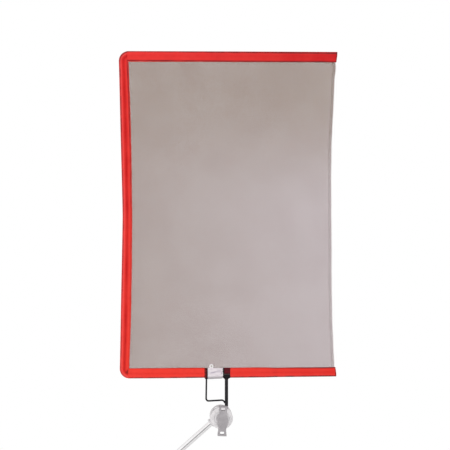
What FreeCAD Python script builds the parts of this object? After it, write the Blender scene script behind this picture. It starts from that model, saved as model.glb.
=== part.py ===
import FreeCAD, Part  # FreeCAD has to come first
import math
import os

from FreeCAD import Vector

# Open-ended double net scrim, held by its mounting pin in a grip head on a short arm.
# Millimetres, +Z up. The scrim hangs in a plane of constant Y and is seen from -Y.
# The origin is in the arm's free end. Shapes are drawn about the centre of the head's
# jaws, on the pin's plane, and moved into the part frame when they are written.

INCH = 25.4

# --- standard stock and the scrim's overall size
SCRIM_WIDTH = 24 * INCH
SCRIM_HEIGHT = 36 * INCH
FRAME_R = 3 / 32 * INCH
PIN_R = 3 / 16 * INCH
ARM_R = 5 / 16 * INCH
ARM_LENGTH = 20 * INCH
SCREW_R = 3 / 16 * INCH
JAW_R = 1.25 * INCH

# --- where the scrim sits over the head
PIN_X = 14.0
SCRIM_X = PIN_X + 5.3
SCRIM_BASE = 113.0

# --- frame rod, sprung inwards by the net's pull
BEND_R = 23.5
SIDE_BOW = 9.0
TIP_PULL = 0.8
SLEEVE_R = 4.0
SLEEVE_WALL = 0.9
BINDING_WIDTH = 27.0
SEAM_PAST = 1.2
FLAP_HALF = 1.7
SLOT_HALF = 0.65
SLOT_INSET = 1.0
TIP_GAP = 5.0
ROD_FIT = 0.03

# --- vinyl caps on the rod's ends
CAP_LENGTH = 14.0
CAP_WALL = 0.5
CAP_FIT = 0.05
CAP_END = 1.6
CAP_ROUND = 0.9

# --- net
NET_GAP = 0.05
NET_THICK = 0.25
NET_INSET = 6.0
NET_EDGE_INSET = 4.0
NET_EDGE_BOW = 13.5
HEM_WIDTH = 10.0
HEM_HALF = 1.15
HEM_SLOT = 0.35
HEM_END_GAP = 0.3
HEM_LIP = 0.6
HEM_FIT = 0.2

# --- mounting pin, brace and what covers their welds
PIN_LENGTH = 5.5 * INCH
PIN_CHAMFER = 1.0
BRACE_X = PIN_X - 56.1
BRACE_DROP = 65.4
BRACE_SPLAY = 1.2
BRACE_RISE = 2.2
BRACE_TURN_X = PIN_X - 11.0
BRACE_FOOT_X = PIN_X - 1.5
BRACE_FOOT_DROP = 6.0
BRACE_BENDS = [7.0, 4.5]
PIN_WELD_FLARE = (0.2, 1.3)
PIN_WELD_HEIGHT = 3.4
PIN_WELD_DROP = 2.4
TOP_WELD_R = 2.9
TOP_WELD_DROP = 1.1
FOOT_WELD_R = 3.9
FOOT_WELD_AT = (-3.6, 2.6)
WELD_FIT = 0.05
BAR_FIT = 0.04
WRAP_SKIN = 0.5
WRAP_LIP = 0.6
WRAP_FIT = 0.06
SKIRT_DROP = 3.4
SKIRT_FLARE = (1.0, 2.3)
SKIRT_HEIGHT = 4.6
SKIRT_SHOULDERS = (1.5, 5.0)
WRAP_LEFT = (PIN_X - 61.8, PIN_X - 53.3)
WRAP_RIGHT = (PIN_X - 9.7, PIN_X + 10.5)
LABEL = (PIN_X - 52.8, PIN_X - 10.1)
LABEL_DROP = 3.4
LABEL_TOP = 28.4
LABEL_THICK = 0.6
LABEL_REACH = 4.9
LABEL_TAPER = 0.4
LABEL_LIP = 1.35
LABEL_BEND = 13.0
LABEL_SLOT_HALF = 0.7
EYELET_X = PIN_X - 42.6
EYELET_Z = 33.4
EYELET_HOLE_R = 1.9
EYELET_BARREL = 0.55
EYELET_RIM = 2.0
EYELET_FIT = 0.05
TAB_HALF = 5.8

# --- grip head, front (-Y) to back
JAW_GAP_HALF = 1.5
JAW_THICK = 16.0
GROOVES = {  # rod radius: (centre, direction)
    5 / 16 * INCH: (-17.5, "Z"),
    3 / 16 * INCH: (PIN_X, "Z"),
    1 / 4 * INCH: (15.5, "X"),
    1 / 8 * INCH: (-12.0, "X"),
}
GROOVE_FIT = 0.05
SCREW_HOLE_R = SCREW_R + 0.4
SPRING_POCKET_R = 7.2
SPRING_POCKET_DEPTH = 5.5
SPRING_WIRE_R = 0.7
SPRING_R = 6.1
SPRING_TURNS = 4
SPRING_SLACK = 0.2
DOWEL_X = 24.6
DOWEL_R = 2.0
DOWEL_SEAT = 8.0
DOWEL_REACH = 5.5
DOWEL_HOLE = 7.0
DOWEL_FIT = 0.05
BOSS_RISE = 17.5
BOSS_Y = -(JAW_GAP_HALF + BOSS_RISE)
WASHER_R = 12.6
WASHER_THICK = 2.0
WASHER_FIT = 0.3
FACE_GAP = 0.05
FRICTION_R = 26.0
FRICTION_THICK = 2.0
FRICTION_GAPS = (0.02, 0.1)
BODY_THICK = 22.0
BODY_FRONT = JAW_GAP_HALF + JAW_THICK + FRICTION_THICK
BODY_BACK = BODY_FRONT + BODY_THICK
NUT_FLATS = 14.3
NUT_DEPTH = 6.0
NUT_THICK = 8.0
NUT_FIT = 0.1
THREAD_FIT = 0.06
THREAD_PITCH = INCH / 16
THREAD_DEPTH = 0.7
THREAD_LEAD = 4.0
SCREW_TAIL = BODY_BACK + 9.5
SCREW_NOSE = -56.0
STOP_RING_Y = BODY_BACK + 6.2
STOP_RING_GROOVE = 1.4
STOP_RING_DEPTH = 1.0
STOP_RING_WALL = 2.4
STOP_RING_OPENING = 2.6

# --- arm
ARM_AXIS_Y = BODY_FRONT + BODY_THICK / 2
ARM_ANGLE = math.radians(41.4)
ARM_OFFSET = 3.5
NECK_R = 12.5
NECK_FROM = 27.0
NECK_TO = 36.0
NECK_WAIST = 0.8
COLLAR_LENGTH = 5.5
COLLAR_ROUND = 1.2
ARM_SEAT = 17.0
ARM_SPIGOT_R = 7.2
ARM_FIT = 0.03
ARM_GAP = 0.05
ARM_CHAMFER = 1.2
ARM_DIR = Vector(-math.cos(ARM_ANGLE), 0, -math.sin(ARM_ANGLE))
ARM_SIDE = Vector(-math.sin(ARM_ANGLE), 0, math.cos(ARM_ANGLE))
ARM_PIN_AT = 31.5
ARM_PIN_R = 2.0
ARM_PIN_BORE = 0.9
PIN_FIT = 0.03

# --- T-handle
HANDLE_HALF = 42.0
HANDLE_END = 12.3
HANDLE_NECK = 10.8
HANDLE_HUB = 16.0
HANDLE_BACK = BOSS_Y - WASHER_THICK - 2 * FACE_GAP
HANDLE_FRONT = -62.0
WING_DEPTH = 14.0
HUB_R = (11.0, 13.5)
HUB_Y = (-40.0, -52.0)
HANDLE_LEAN = 2.5
HANDLE_SOFT = 2.0
HANDLE_END_SOFT = 1.2
HANDLE_PIN_Y = HANDLE_FRONT + WING_DEPTH
WINDOW = (12.0, 8.0)
WINDOW_Z = 33.5
WINDOW_ROUND = 2.2

# --- how far a cutting shape runs past what it cuts, and well clear of everything
PAST = 5.0
CLEAR = 20.0
WIDE = 90.0

UP = Vector(0, 0, 1)
DEEP = Vector(0, 1, 0)


def arm_point(distance):
    """A point on the arm's axis, measured from beside the head's centre."""
    return Vector(0, ARM_AXIS_Y, 0) + ARM_SIDE * ARM_OFFSET + ARM_DIR * distance


# The origin is on the arm's axis where the chamfer of its free end starts.
HEAD = arm_point(NECK_TO + ARM_LENGTH - ARM_CHAMFER) * -1


# --- general helpers -------------------------------------------------------------
def rod(radius, start, end):
    """A plain round bar between two points."""
    return Part.makeCylinder(radius, (end - start).Length, start, end - start)


def bar_y(radius, y0, y1, x=0.0, z=0.0):
    """A round bar along Y."""
    return rod(radius, Vector(x, y0, z), Vector(x, y1, z))


def block(x0, x1, y0, y1, z0, z1):
    return Part.makeBox(x1 - x0, y1 - y0, z1 - z0, Vector(x0, y0, z0))


def turned(profile):
    """A solid turned about the Y axis from (radius, y) points."""
    points = [Vector(r, y, 0) for r, y in profile]
    face = Part.Face(Part.makePolygon(points + points[:1]))
    return face.revolve(Vector(), DEEP, 360)


def slab(edges, y0, y1):
    """A flat plate from a closed outline in the XZ plane."""
    face = Part.Face(Part.Wire(Part.__sortEdges__(edges)))
    face.translate(Vector(0, y0, 0))
    return face.extrude(Vector(0, y1 - y0, 0))


def polygon_slab(points, y0, y1):
    loop = [Vector(x, 0, z) for x, z in points]
    return slab(Part.makePolygon(loop + loop[:1]).Edges, y0, y1)


def tube_along(path, radius):
    """A round solid along a smooth planar path that starts at the path's first point."""
    first = path.OrderedEdges[0]
    start = first.valueAt(first.FirstParameter)
    if (start - path.OrderedVertexes[0].Point).Length > 1e-6:
        start = path.OrderedVertexes[0].Point
    heading = first.tangentAt(first.FirstParameter)
    ring = Part.Wire(Part.makeCircle(radius, start, heading))
    return path.makePipeShell([ring], True, True)


def rounded_path(points, radii):
    """Straight runs through the points, joined by tangent arcs of the given radii."""
    edges = []
    here = points[0]
    for before, corner, after, radius in zip(points, points[1:], points[2:], radii):
        back, ahead = (before - corner).normalize(), (after - corner).normalize()
        half = back.getAngle(ahead) / 2
        reach = radius / math.tan(half)
        arc_in, arc_out = corner + back * reach, corner + ahead * reach
        centre = corner + (back + ahead).normalize() * (radius / math.sin(half))
        middle = centre + (corner - centre).normalize() * radius
        edges += [Part.LineSegment(here, arc_in), Part.Arc(arc_in, middle, arc_out)]
        here = arc_out
    edges.append(Part.LineSegment(here, points[-1]))
    return Part.Wire([e.toShape() for e in edges])


def round_edges(shape):
    """The shape's full circles."""
    return [e for e in shape.Edges if len(e.Vertexes) == 1]


def biggest(shape):
    """The shape as one solid or as a compound of solids."""
    solids = shape.Solids
    return solids[0] if len(solids) == 1 else Part.makeCompound(solids)


# --- the frame's outline ---------------------------------------------------------
# The left side is an arc that bows inwards and each arm an arc that leans in towards its
# tip. A line at an inset from the rod is made of concentric arcs.
LEFT = SCRIM_X - SCRIM_WIDTH / 2
RIGHT = SCRIM_X + SCRIM_WIDTH / 2
TOP = SCRIM_BASE + SCRIM_HEIGHT
MIDDLE = SCRIM_BASE + SCRIM_HEIGHT / 2
ROD_TOP = TOP - SLEEVE_R
ROD_BASE = SCRIM_BASE + SLEEVE_R
SIDE_HALF = (ROD_TOP - ROD_BASE) / 2 - BEND_R
SIDE_R = (SIDE_HALF**2 + SIDE_BOW**2) / (2 * SIDE_BOW)
ARM_SPAN = SCRIM_WIDTH - SLEEVE_R - BEND_R
REACH_R = ARM_SPAN**2 / (2 * TIP_PULL)
SIDE_CENTRE = Vector(LEFT + SLEEVE_R + SIDE_BOW - SIDE_R, 0, MIDDLE)
TOP_CENTRE = Vector(LEFT + SLEEVE_R + BEND_R, 0, ROD_TOP - REACH_R)


def crossing(c1, r1, c2, r2):
    """The rightmost crossing above MIDDLE of two circles in the XZ plane."""
    across = c2 - c1
    gap = across.Length
    along = (r1**2 - r2**2 + gap**2) / (2 * gap)
    off = math.sqrt(r1**2 - along**2)
    across.normalize()
    normal = Vector(-across.z, 0, across.x)
    found = [c1 + across * along + normal * off * side for side in (1, -1)]
    return max((p for p in found if p.z > MIDDLE), key=lambda p: p.x)


CORNER = crossing(SIDE_CENTRE, SIDE_R + BEND_R, TOP_CENTRE, REACH_R - BEND_R)


def flipped(point):
    """The point mirrored from the scrim's top half to its bottom half."""
    return Vector(point.x, point.y, 2 * MIDDLE - point.z)


def towards(centre, radius, point):
    return centre + (point - centre).normalize() * radius


def reach_point(inset, x):
    """The point at x on the top arm's line, at an inset from the rod."""
    radius = REACH_R - inset
    rise = math.sqrt(radius**2 - (x - TOP_CENTRE.x) ** 2)
    return Vector(x, 0, TOP_CENTRE.z + rise)


def outline(inset, tip_x):
    """Edges from the top tip round the left side to the bottom tip, inset from the rod."""
    radius = BEND_R - inset
    side_mid = Vector(SIDE_CENTRE.x + SIDE_R + inset, 0, MIDDLE)
    tip = reach_point(inset, tip_x)
    if radius > 0.2:
        on_arm = towards(CORNER, radius, CORNER + (CORNER - TOP_CENTRE))
        on_side = towards(CORNER, radius, SIDE_CENTRE)
        outwards = (on_arm - CORNER) + (on_side - CORNER)
        corner_mid = CORNER + outwards.normalize() * radius
    else:
        on_arm = crossing(SIDE_CENTRE, SIDE_R + inset, TOP_CENTRE, REACH_R - inset)
        on_side, corner_mid = on_arm, None
    arm_mid = reach_point(inset, (tip_x + on_arm.x) / 2)
    pieces = [Part.Arc(tip, arm_mid, on_arm)]
    if corner_mid:
        pieces.append(Part.Arc(on_arm, corner_mid, on_side))
    pieces.append(Part.Arc(on_side, side_mid, flipped(on_side)))
    if corner_mid:
        pieces.append(Part.Arc(flipped(on_side), flipped(corner_mid), flipped(on_arm)))
    pieces.append(Part.Arc(flipped(on_arm), flipped(arm_mid), flipped(tip)))
    return [p.toShape() for p in pieces]


def net_edge(inset, margin=0.0):
    """The open edge's arc between the arms' lines at an inset, drawn in by margin."""
    half = SCRIM_HEIGHT / 2 - BINDING_WIDTH
    radius = (half**2 + NET_EDGE_BOW**2) / (2 * NET_EDGE_BOW)
    waist = RIGHT - NET_EDGE_INSET - NET_EDGE_BOW
    centre = Vector(waist + radius, 0, MIDDLE)
    radius += margin
    rise = ROD_TOP - inset - MIDDLE
    x = centre.x - math.sqrt(radius**2 - rise**2)
    for _ in range(4):
        rise = reach_point(inset, x).z - MIDDLE
        x = centre.x - math.sqrt(radius**2 - rise**2)
    top = reach_point(inset, x)
    return Part.Arc(top, Vector(centre.x - radius, 0, MIDDLE), flipped(top)), top


def ring_slab(outer, inner, half):
    """A flat frame-shaped plate between two insets, open at the right."""
    tip = RIGHT
    a, b = outline(outer, tip), outline(inner, tip)
    ends = []
    for sign in (1, -1):
        p, q = reach_point(outer, tip), reach_point(inner, tip)
        if sign < 0:
            p, q = flipped(p), flipped(q)
        ends.append(Part.LineSegment(p, q).toShape())
    return slab(a + b + ends, -half, half)


# --- scrim -----------------------------------------------------------------------
def frame_path(tip_x):
    return Part.Wire(outline(0.0, tip_x))


def make_frame_rod():
    return tube_along(frame_path(RIGHT - TIP_GAP), FRAME_R)


def make_tip_caps():
    """Vinyl caps over the frame rod's two cut ends."""
    caps = []
    for mirror in (False, True):
        end = reach_point(0.0, RIGHT - TIP_GAP)
        inner = reach_point(0.0, RIGHT - TIP_GAP - CAP_LENGTH)
        if mirror:
            end, inner = flipped(end), flipped(inner)
        along = (end - inner).normalize()
        shell = rod(FRAME_R + CAP_FIT + CAP_WALL, inner, end + along * CAP_END)
        shell = shell.makeFillet(CAP_ROUND, [shell.Edges[0]])
        caps.append(shell.cut(rod(FRAME_R + CAP_FIT, inner - along * PAST, end)))
    return Part.makeCompound(caps)


def sleeve(radius, flap_half, width):
    """The folded cloth around the rod and the net's margin, as one hollow body."""
    blank = tube_along(frame_path(RIGHT), radius)
    blank = blank.fuse(ring_slab(0.0, width - SLEEVE_R, flap_half))
    bore = tube_along(frame_path(RIGHT + PAST), SLEEVE_R - SLEEVE_WALL)
    slot = ring_slab(SLOT_INSET, width + PAST, SLOT_HALF)
    tip_slot = slot.translated(Vector(PAST, 0, 0))
    return blank.cut(bore).cut(slot).cut(tip_slot)


def bindings():
    """The red binding: the left strip takes both corners, and the mount parts the bottom."""
    cloth = sleeve(SLEEVE_R, FLAP_HALF, BINDING_WIDTH)
    reach = BINDING_WIDTH + TIP_PULL + 0.5
    near, far = CORNER.x + SEAM_PAST, RIGHT + CLEAR
    low, high = SCRIM_BASE - CLEAR, TOP + CLEAR
    top = block(near, far, -CLEAR, CLEAR, TOP - reach, high)
    bottom = block(near, far, -CLEAR, CLEAR, low, SCRIM_BASE + reach)
    before = block(near, WRAP_LEFT[0], -CLEAR, CLEAR, low, SCRIM_BASE + reach)
    after = block(WRAP_RIGHT[1], far, -CLEAR, CLEAR, low, SCRIM_BASE + reach)
    return {
        "binding_top": cloth.common(top),
        "binding_left": cloth.cut(top).cut(bottom),
        "binding_bottom_left": cloth.common(before),
        "binding_bottom_right": cloth.common(after),
    }


def make_net(front):
    """One of the two layers of net, from inside the binding to the open edge."""
    arc, top = net_edge(NET_INSET)
    edges = outline(NET_INSET, top.x) + [arc.toShape()]
    near, far = NET_GAP, NET_GAP + NET_THICK
    return slab(edges, -far, -near) if front else slab(edges, near, far)


def make_hem():
    """The folded tape along the net's open edge, between the two bindings."""
    inset = BINDING_WIDTH - SLEEVE_R + HEM_END_GAP
    outer, top = net_edge(inset, -HEM_LIP)
    inner, inner_top = net_edge(inset, HEM_WIDTH)
    ends = [
        Part.LineSegment(top, inner_top).toShape(),
        Part.LineSegment(flipped(top), flipped(inner_top)).toShape(),
    ]
    tape = slab([outer.toShape(), inner.toShape()] + ends, -HEM_HALF, HEM_HALF)
    pocket_edge, pocket_top = net_edge(NET_INSET, -HEM_FIT)
    pocket_end = Vector(SCRIM_X, 0, pocket_top.z)
    back = [
        Part.LineSegment(pocket_top, pocket_end).toShape(),
        Part.LineSegment(pocket_end, flipped(pocket_end)).toShape(),
        Part.LineSegment(flipped(pocket_end), flipped(pocket_top)).toShape(),
    ]
    return tape.cut(slab([pocket_edge.toShape()] + back, -HEM_SLOT, HEM_SLOT))


def rod_point(x):
    """The frame rod's centre on the bottom arm at x."""
    return flipped(reach_point(0.0, x))


def make_pin():
    top = Vector(PIN_X, 0, rod_point(PIN_X).z - FRAME_R)
    pin = rod(PIN_R, top - UP * PIN_LENGTH, top + UP * FRAME_R)
    foot = [e for e in round_edges(pin) if e.CenterOfMass.z < top.z - PIN_R]
    pin = pin.makeChamfer(PIN_CHAMFER, foot)
    return pin.cut(rod_clearance())


def rod_clearance():
    """The frame rod a hair larger, for cutting against."""
    return tube_along(frame_path(RIGHT - TIP_GAP), FRAME_R + ROD_FIT)


def brace_points():
    run = SCRIM_BASE - BRACE_DROP
    return [
        Vector(BRACE_X, 0, rod_point(BRACE_X).z),
        Vector(BRACE_X - BRACE_SPLAY, 0, run),
        Vector(BRACE_TURN_X, 0, run + BRACE_RISE),
        Vector(BRACE_FOOT_X, 0, run - BRACE_FOOT_DROP),
    ]


def make_brace():
    """The thin rod from the frame down, across and into the pin's side."""
    brace = brace_bar(FRAME_R).cut(rod_clearance())
    low, high = SCRIM_BASE - BRACE_DROP - CLEAR, rod_point(BRACE_X).z
    brace = brace.common(block(BRACE_X - CLEAR, PIN_X, -CLEAR, CLEAR, low, high))
    return brace.cut(bar_z(PIN_R + BAR_FIT / 2, PIN_X, low, high))


def brace_bar(radius):
    return tube_along(rounded_path(brace_points(), BRACE_BENDS), radius)


def bar_z(radius, x, z0, z1):
    return rod(radius, Vector(x, 0, z0), Vector(x, 0, z1))


def weld_blanks(grow=0.0):
    """Beads at the pin's top, the brace's top and the brace's foot, before cutting."""
    pin_top = rod_point(PIN_X).z - FRAME_R
    under_rod = rod_point(BRACE_X).z - FRAME_R
    low = Vector(PIN_X, 0, pin_top - PIN_WELD_DROP - grow)
    narrow, wide = (PIN_R + flare + grow for flare in PIN_WELD_FLARE)
    foot_x, foot_z = FOOT_WELD_AT
    foot = brace_points()[-1] + Vector(foot_x, 0, foot_z)
    return [
        Part.makeCone(narrow, wide, PIN_WELD_HEIGHT + 2 * grow, low),
        Part.makeSphere(TOP_WELD_R + grow, Vector(BRACE_X, 0, under_rod - TOP_WELD_DROP)),
        Part.makeSphere(FOOT_WELD_R + grow, foot),
    ]


def make_welds():
    """The three fillets of weld that join the pin and the brace to the frame."""
    pin_top = rod_point(PIN_X).z
    tools = [
        rod_clearance(),
        bar_z(PIN_R + BAR_FIT, PIN_X, SCRIM_BASE - PIN_LENGTH, pin_top + PAST),
        brace_bar(FRAME_R + BAR_FIT),
    ]
    beads = []
    for bead in weld_blanks():
        for tool in tools:
            bead = bead.cut(tool)
        beads.append(max(bead.Solids, key=solid_size))
    return Part.makeCompound(beads)


def solid_size(solid):
    return solid.Volume


def make_wrap(span, collar_x, collar_r, shoulder_height, through):
    """Black cloth tape over a weld: round the rod, up over the net, down the bar."""
    middle = rod_point((span[0] + span[1]) / 2)
    half = FLAP_HALF + WRAP_SKIN
    top = SCRIM_BASE + BINDING_WIDTH + WRAP_LIP
    a, b = Vector(span[0], 0, middle.z), Vector(span[1], 0, middle.z)
    wrap = rod(SLEEVE_R + WRAP_SKIN, a, b)
    wrap = wrap.fuse(block(span[0], span[1], -half, half, middle.z, top))
    narrow, wide = (collar_r + flare for flare in SKIRT_FLARE)
    foot = Vector(collar_x, 0, SCRIM_BASE - SKIRT_DROP)
    skirt = Part.makeCone(narrow, wide, SKIRT_HEIGHT, foot)
    shoulder = Part.makeCone(wide, narrow, shoulder_height, foot + UP * SKIRT_HEIGHT)
    skirt = skirt.fuse(shoulder).removeSplitter()
    wrap = wrap.fuse(skirt.common(block(span[0] - PAST, span[1], -CLEAR, CLEAR, 0, top)))
    along = Vector(PAST, 0, 0)
    wrap = wrap.cut(rod(SLEEVE_R - SLEEVE_WALL, a - along, b + along))
    slot = block(
        a.x - PAST, b.x + PAST, -SLOT_HALF, SLOT_HALF, middle.z + SLOT_INSET, top + PAST
    )
    for tool in [slot, through] + weld_blanks(WELD_FIT):
        wrap = wrap.cut(tool)
    return max(wrap.Solids, key=solid_size)


def make_wraps():
    pin_top = rod_point(PIN_X).z + WRAP_FIT
    pin = bar_z(PIN_R + WRAP_FIT, PIN_X, SCRIM_BASE - PIN_LENGTH, pin_top)
    brace = brace_bar(FRAME_R + WRAP_FIT)
    left_shoulder, right_shoulder = SKIRT_SHOULDERS
    return {
        "end_wrap_left": make_wrap(WRAP_LEFT, BRACE_X, FRAME_R, left_shoulder, brace),
        "end_wrap_right": make_wrap(WRAP_RIGHT, PIN_X, PIN_R, right_shoulder, pin),
    }


def label_section(grow):
    """The label's fold seen from the end: wide at the rod, closing on the net above."""
    reach, lip = LABEL_REACH - grow, LABEL_LIP - grow
    foot, bend = SCRIM_BASE - LABEL_DROP + grow, SCRIM_BASE + LABEL_BEND
    top = SCRIM_BASE + LABEL_TOP
    front = [
        Vector(0, -reach, foot + reach),
        Vector(0, -reach + LABEL_TAPER, bend),
        Vector(0, -lip, top),
    ]
    back = [Vector(0, -p.y, p.z) for p in reversed(front)]
    edges = [Part.Arc(back[-1], Vector(0, 0, foot), front[0])]
    sides = front + back
    edges += [Part.LineSegment(a, b) for a, b in zip(sides, sides[1:])]
    return Part.Face(Part.Wire([e.toShape() for e in edges]))


def make_label():
    """The blank white label folded round the bottom rail, with its eyelet tab."""
    left, right = LABEL
    outer = label_section(0.0).translated(Vector(left, 0, 0))
    inner = label_section(LABEL_THICK).translated(Vector(left - PAST, 0, 0))
    fold = outer.extrude(Vector(right - left, 0, 0))
    fold = fold.cut(inner.extrude(Vector(right - left + 2 * PAST, 0, 0)))
    top = SCRIM_BASE + LABEL_TOP
    half = LABEL_SLOT_HALF
    fold = fold.cut(block(left - PAST, right + PAST, -half, half, top - PAST, top + PAST))
    eye_z = SCRIM_BASE + EYELET_Z
    front, back = -LABEL_LIP, -LABEL_LIP + LABEL_THICK
    stem = TAB_HALF - 1.0
    tab = bar_y(TAB_HALF, front, back, EYELET_X, eye_z)
    tab = tab.fuse(block(EYELET_X - stem, EYELET_X + stem, front, back, top - 2, eye_z))
    hole = bar_y(EYELET_HOLE_R + EYELET_BARREL + EYELET_FIT, -PAST, 0, EYELET_X, eye_z)
    return biggest(fold.fuse(tab).cut(hole).removeSplitter())


def make_eyelet():
    """The small rolled eyelet in the label's tab."""
    inner = EYELET_HOLE_R
    barrel, rim = inner + EYELET_BARREL, inner + EYELET_RIM
    ring = turned(
        [
            (inner, -0.7),
            (inner, -1.85),
            (inner + 0.5, -2.15),
            (rim - 0.4, -1.95),
            (rim, -1.4),
            (barrel, -1.4),
            (barrel, -0.7),
        ]
    )
    ring.translate(Vector(EYELET_X, 0, SCRIM_BASE + EYELET_Z))
    return ring


# --- grip head -------------------------------------------------------------------
def groove_cutter(radius, centre, direction):
    """A round bar with flared sides: each jaw gets a V with a rounded bottom."""
    radius += GROOVE_FIT
    flat, reach = radius / math.sqrt(2), radius * math.sqrt(2)
    section = [(reach, 0), (flat, flat), (-flat, flat)]
    section += [(-a, -b) for a, b in section]
    length = 2 * (JAW_R + CLEAR)
    if direction == "Z":
        points = [Vector(centre + a, b, -length / 2) for a, b in section]
        start, along = Vector(centre, 0, -length / 2), Vector(0, 0, length)
    else:
        points = [Vector(-length / 2, b, centre + a) for a, b in section]
        start, along = Vector(-length / 2, 0, centre), Vector(length, 0, 0)
    flare = Part.Face(Part.makePolygon(points + points[:1])).extrude(along)
    return flare.fuse(rod(radius, start, start + along)).removeSplitter()


def cut_grooves(jaw):
    for radius, (centre, direction) in GROOVES.items():
        jaw = jaw.cut(groove_cutter(radius, centre, direction))
    return jaw


def make_outer_jaw():
    """The front jaw: a stepped disc with a raised boss and four V grooves."""
    face = -JAW_GAP_HALF
    jaw = turned(
        [
            (SCREW_HOLE_R, face),
            (JAW_R - 1.0, face),
            (JAW_R, face - 1.0),
            (JAW_R, face - 8.0),
            (JAW_R - 1.2, face - 9.6),
            (JAW_R - 5.0, face - 12.2),
            (21.5, face - 13.4),
            (20.6, face - 12.6),
            (18.8, face - 12.6),
            (17.6, face - 14.0),
            (14.5, BOSS_Y + 0.6),
            (13.6, BOSS_Y),
            (SCREW_HOLE_R, BOSS_Y),
        ]
    )
    jaw = cut_grooves(jaw)
    jaw = jaw.cut(bar_y(SPRING_POCKET_R, face - SPRING_POCKET_DEPTH, 0))
    jaw = jaw.cut(bar_y(DOWEL_R + DOWEL_FIT, face - DOWEL_HOLE, 0, DOWEL_X))
    return biggest(jaw)


def make_inner_jaw():
    """The rear jaw: the same grooves in a plain disc."""
    face, back = JAW_GAP_HALF, JAW_GAP_HALF + JAW_THICK
    jaw = turned(
        [
            (SCREW_HOLE_R, face),
            (JAW_R - 1.0, face),
            (JAW_R, face + 1.0),
            (JAW_R, face + 6.6),
            (JAW_R - 1.3, face + 7.4),
            (JAW_R - 1.3, face + 9.4),
            (JAW_R, face + 10.2),
            (JAW_R, back - 1.0),
            (JAW_R - 1.0, back),
            (SCREW_HOLE_R, back),
        ]
    )
    jaw = cut_grooves(jaw)
    jaw = jaw.cut(bar_y(SPRING_POCKET_R, 0, face + SPRING_POCKET_DEPTH))
    jaw = jaw.cut(bar_y(DOWEL_R, 0, face + DOWEL_SEAT, DOWEL_X))
    return biggest(jaw)


def make_dowel():
    """Keeps the two jaws' grooves in line: fixed in the rear jaw, sliding in the front."""
    front, back = -JAW_GAP_HALF - DOWEL_REACH, JAW_GAP_HALF + DOWEL_SEAT
    dowel = bar_y(DOWEL_R, front, back, DOWEL_X)
    return dowel.makeChamfer(DOWEL_R / 4, round_edges(dowel))


def make_spring():
    """The coil that opens the jaws as the handle is slackened."""
    room = 2 * (JAW_GAP_HALF + SPRING_POCKET_DEPTH - SPRING_WIRE_R) - SPRING_SLACK
    helix = Part.makeHelix(room / SPRING_TURNS, room, SPRING_R)
    start = Vector(SPRING_R, 0, 0)
    ring = Part.Wire(Part.makeCircle(SPRING_WIRE_R, start, DEEP))
    coil = Part.Wire(helix.Edges).makePipeShell([ring], True, True)
    coil.rotate(Vector(), Vector(1, 0, 0), -90)
    coil.translate(Vector(0, -room / 2, 0))
    return coil


def make_washer():
    back, front = BOSS_Y - FACE_GAP, BOSS_Y - WASHER_THICK
    hole, round_r = SCREW_R + WASHER_FIT, WASHER_R - 0.6
    profile = [(hole, back), (round_r, back), (WASHER_R, back - 0.45)]
    profile += [(WASHER_R, front + 0.4), (round_r, front), (hole, front)]
    return turned(profile)


def make_friction_disc():
    front = JAW_GAP_HALF + JAW_THICK
    before, after = FRICTION_GAPS
    disc = bar_y(FRICTION_R, front + before, front + FRICTION_THICK - after)
    return disc.cut(bar_y(SCREW_HOLE_R, front - PAST, front + FRICTION_THICK + PAST))


def hexagon(flats, y0, y1):
    radius = flats / math.sqrt(3)
    turns = [math.radians(30 + 60 * i) for i in range(6)]
    points = [(radius * math.cos(t), radius * math.sin(t)) for t in turns]
    return polygon_slab(points, y0, y1)


def make_arm_body():
    """The rear casting: a disc with a neck that takes the arm, and the nut's pocket."""
    front, back = BODY_FRONT, BODY_BACK
    disc = turned(
        [
            (SCREW_HOLE_R, front),
            (JAW_R - 1.0, front),
            (JAW_R, front + 1.0),
            (JAW_R, back - 4.5),
            (JAW_R - 3.5, back - 1.2),
            (22.0, back - 0.4),
            (21.0, back - 1.6),
            (18.5, back - 1.6),
            (17.5, back),
            (SCREW_HOLE_R, back),
        ]
    )
    neck = rod(NECK_R - NECK_WAIST, arm_point(NECK_FROM), arm_point(NECK_TO))
    collar = rod(NECK_R, arm_point(NECK_TO - COLLAR_LENGTH), arm_point(NECK_TO))
    collar = collar.makeFillet(COLLAR_ROUND, round_edges(collar))
    body = disc.fuse(neck).fuse(collar)
    mouth = arm_point(NECK_TO + PAST)
    body = body.cut(rod(ARM_SPIGOT_R + ARM_FIT, arm_point(ARM_SEAT), mouth))
    body = body.cut(hexagon(NUT_FLATS + NUT_FIT, back - NUT_DEPTH, back + PAST))
    body = body.cut(arm_pin_bar(ARM_PIN_R, BODY_THICK))
    return biggest(body)


def arm_pin_bar(radius, half):
    at = arm_point(ARM_PIN_AT)
    return rod(radius, at - DEEP * half, at + DEEP * half)


def make_arm():
    """The arm: a bright 5/8 inch rod, with a thinner spigot that sits in the casting."""
    foot = arm_point(NECK_TO + ARM_LENGTH)
    arm = rod(ARM_R, arm_point(NECK_TO + ARM_GAP), foot)
    ends = [e for e in round_edges(arm) if (e.CenterOfMass - foot).Length < ARM_R]
    arm = arm.makeChamfer(ARM_CHAMFER, ends)
    arm = arm.fuse(rod(ARM_SPIGOT_R, arm_point(ARM_SEAT), arm_point(NECK_TO + PAST)))
    return arm.cut(arm_pin_bar(ARM_PIN_R + PIN_FIT, BODY_THICK))


def make_arm_pin():
    """The rolled pin through the neck that keeps the arm in: a split tube."""
    pin = arm_pin_bar(ARM_PIN_R - PIN_FIT, NECK_R - NECK_WAIST / 2)
    return biggest(pin.cut(arm_pin_bar(ARM_PIN_BORE, BODY_THICK)))


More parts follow.
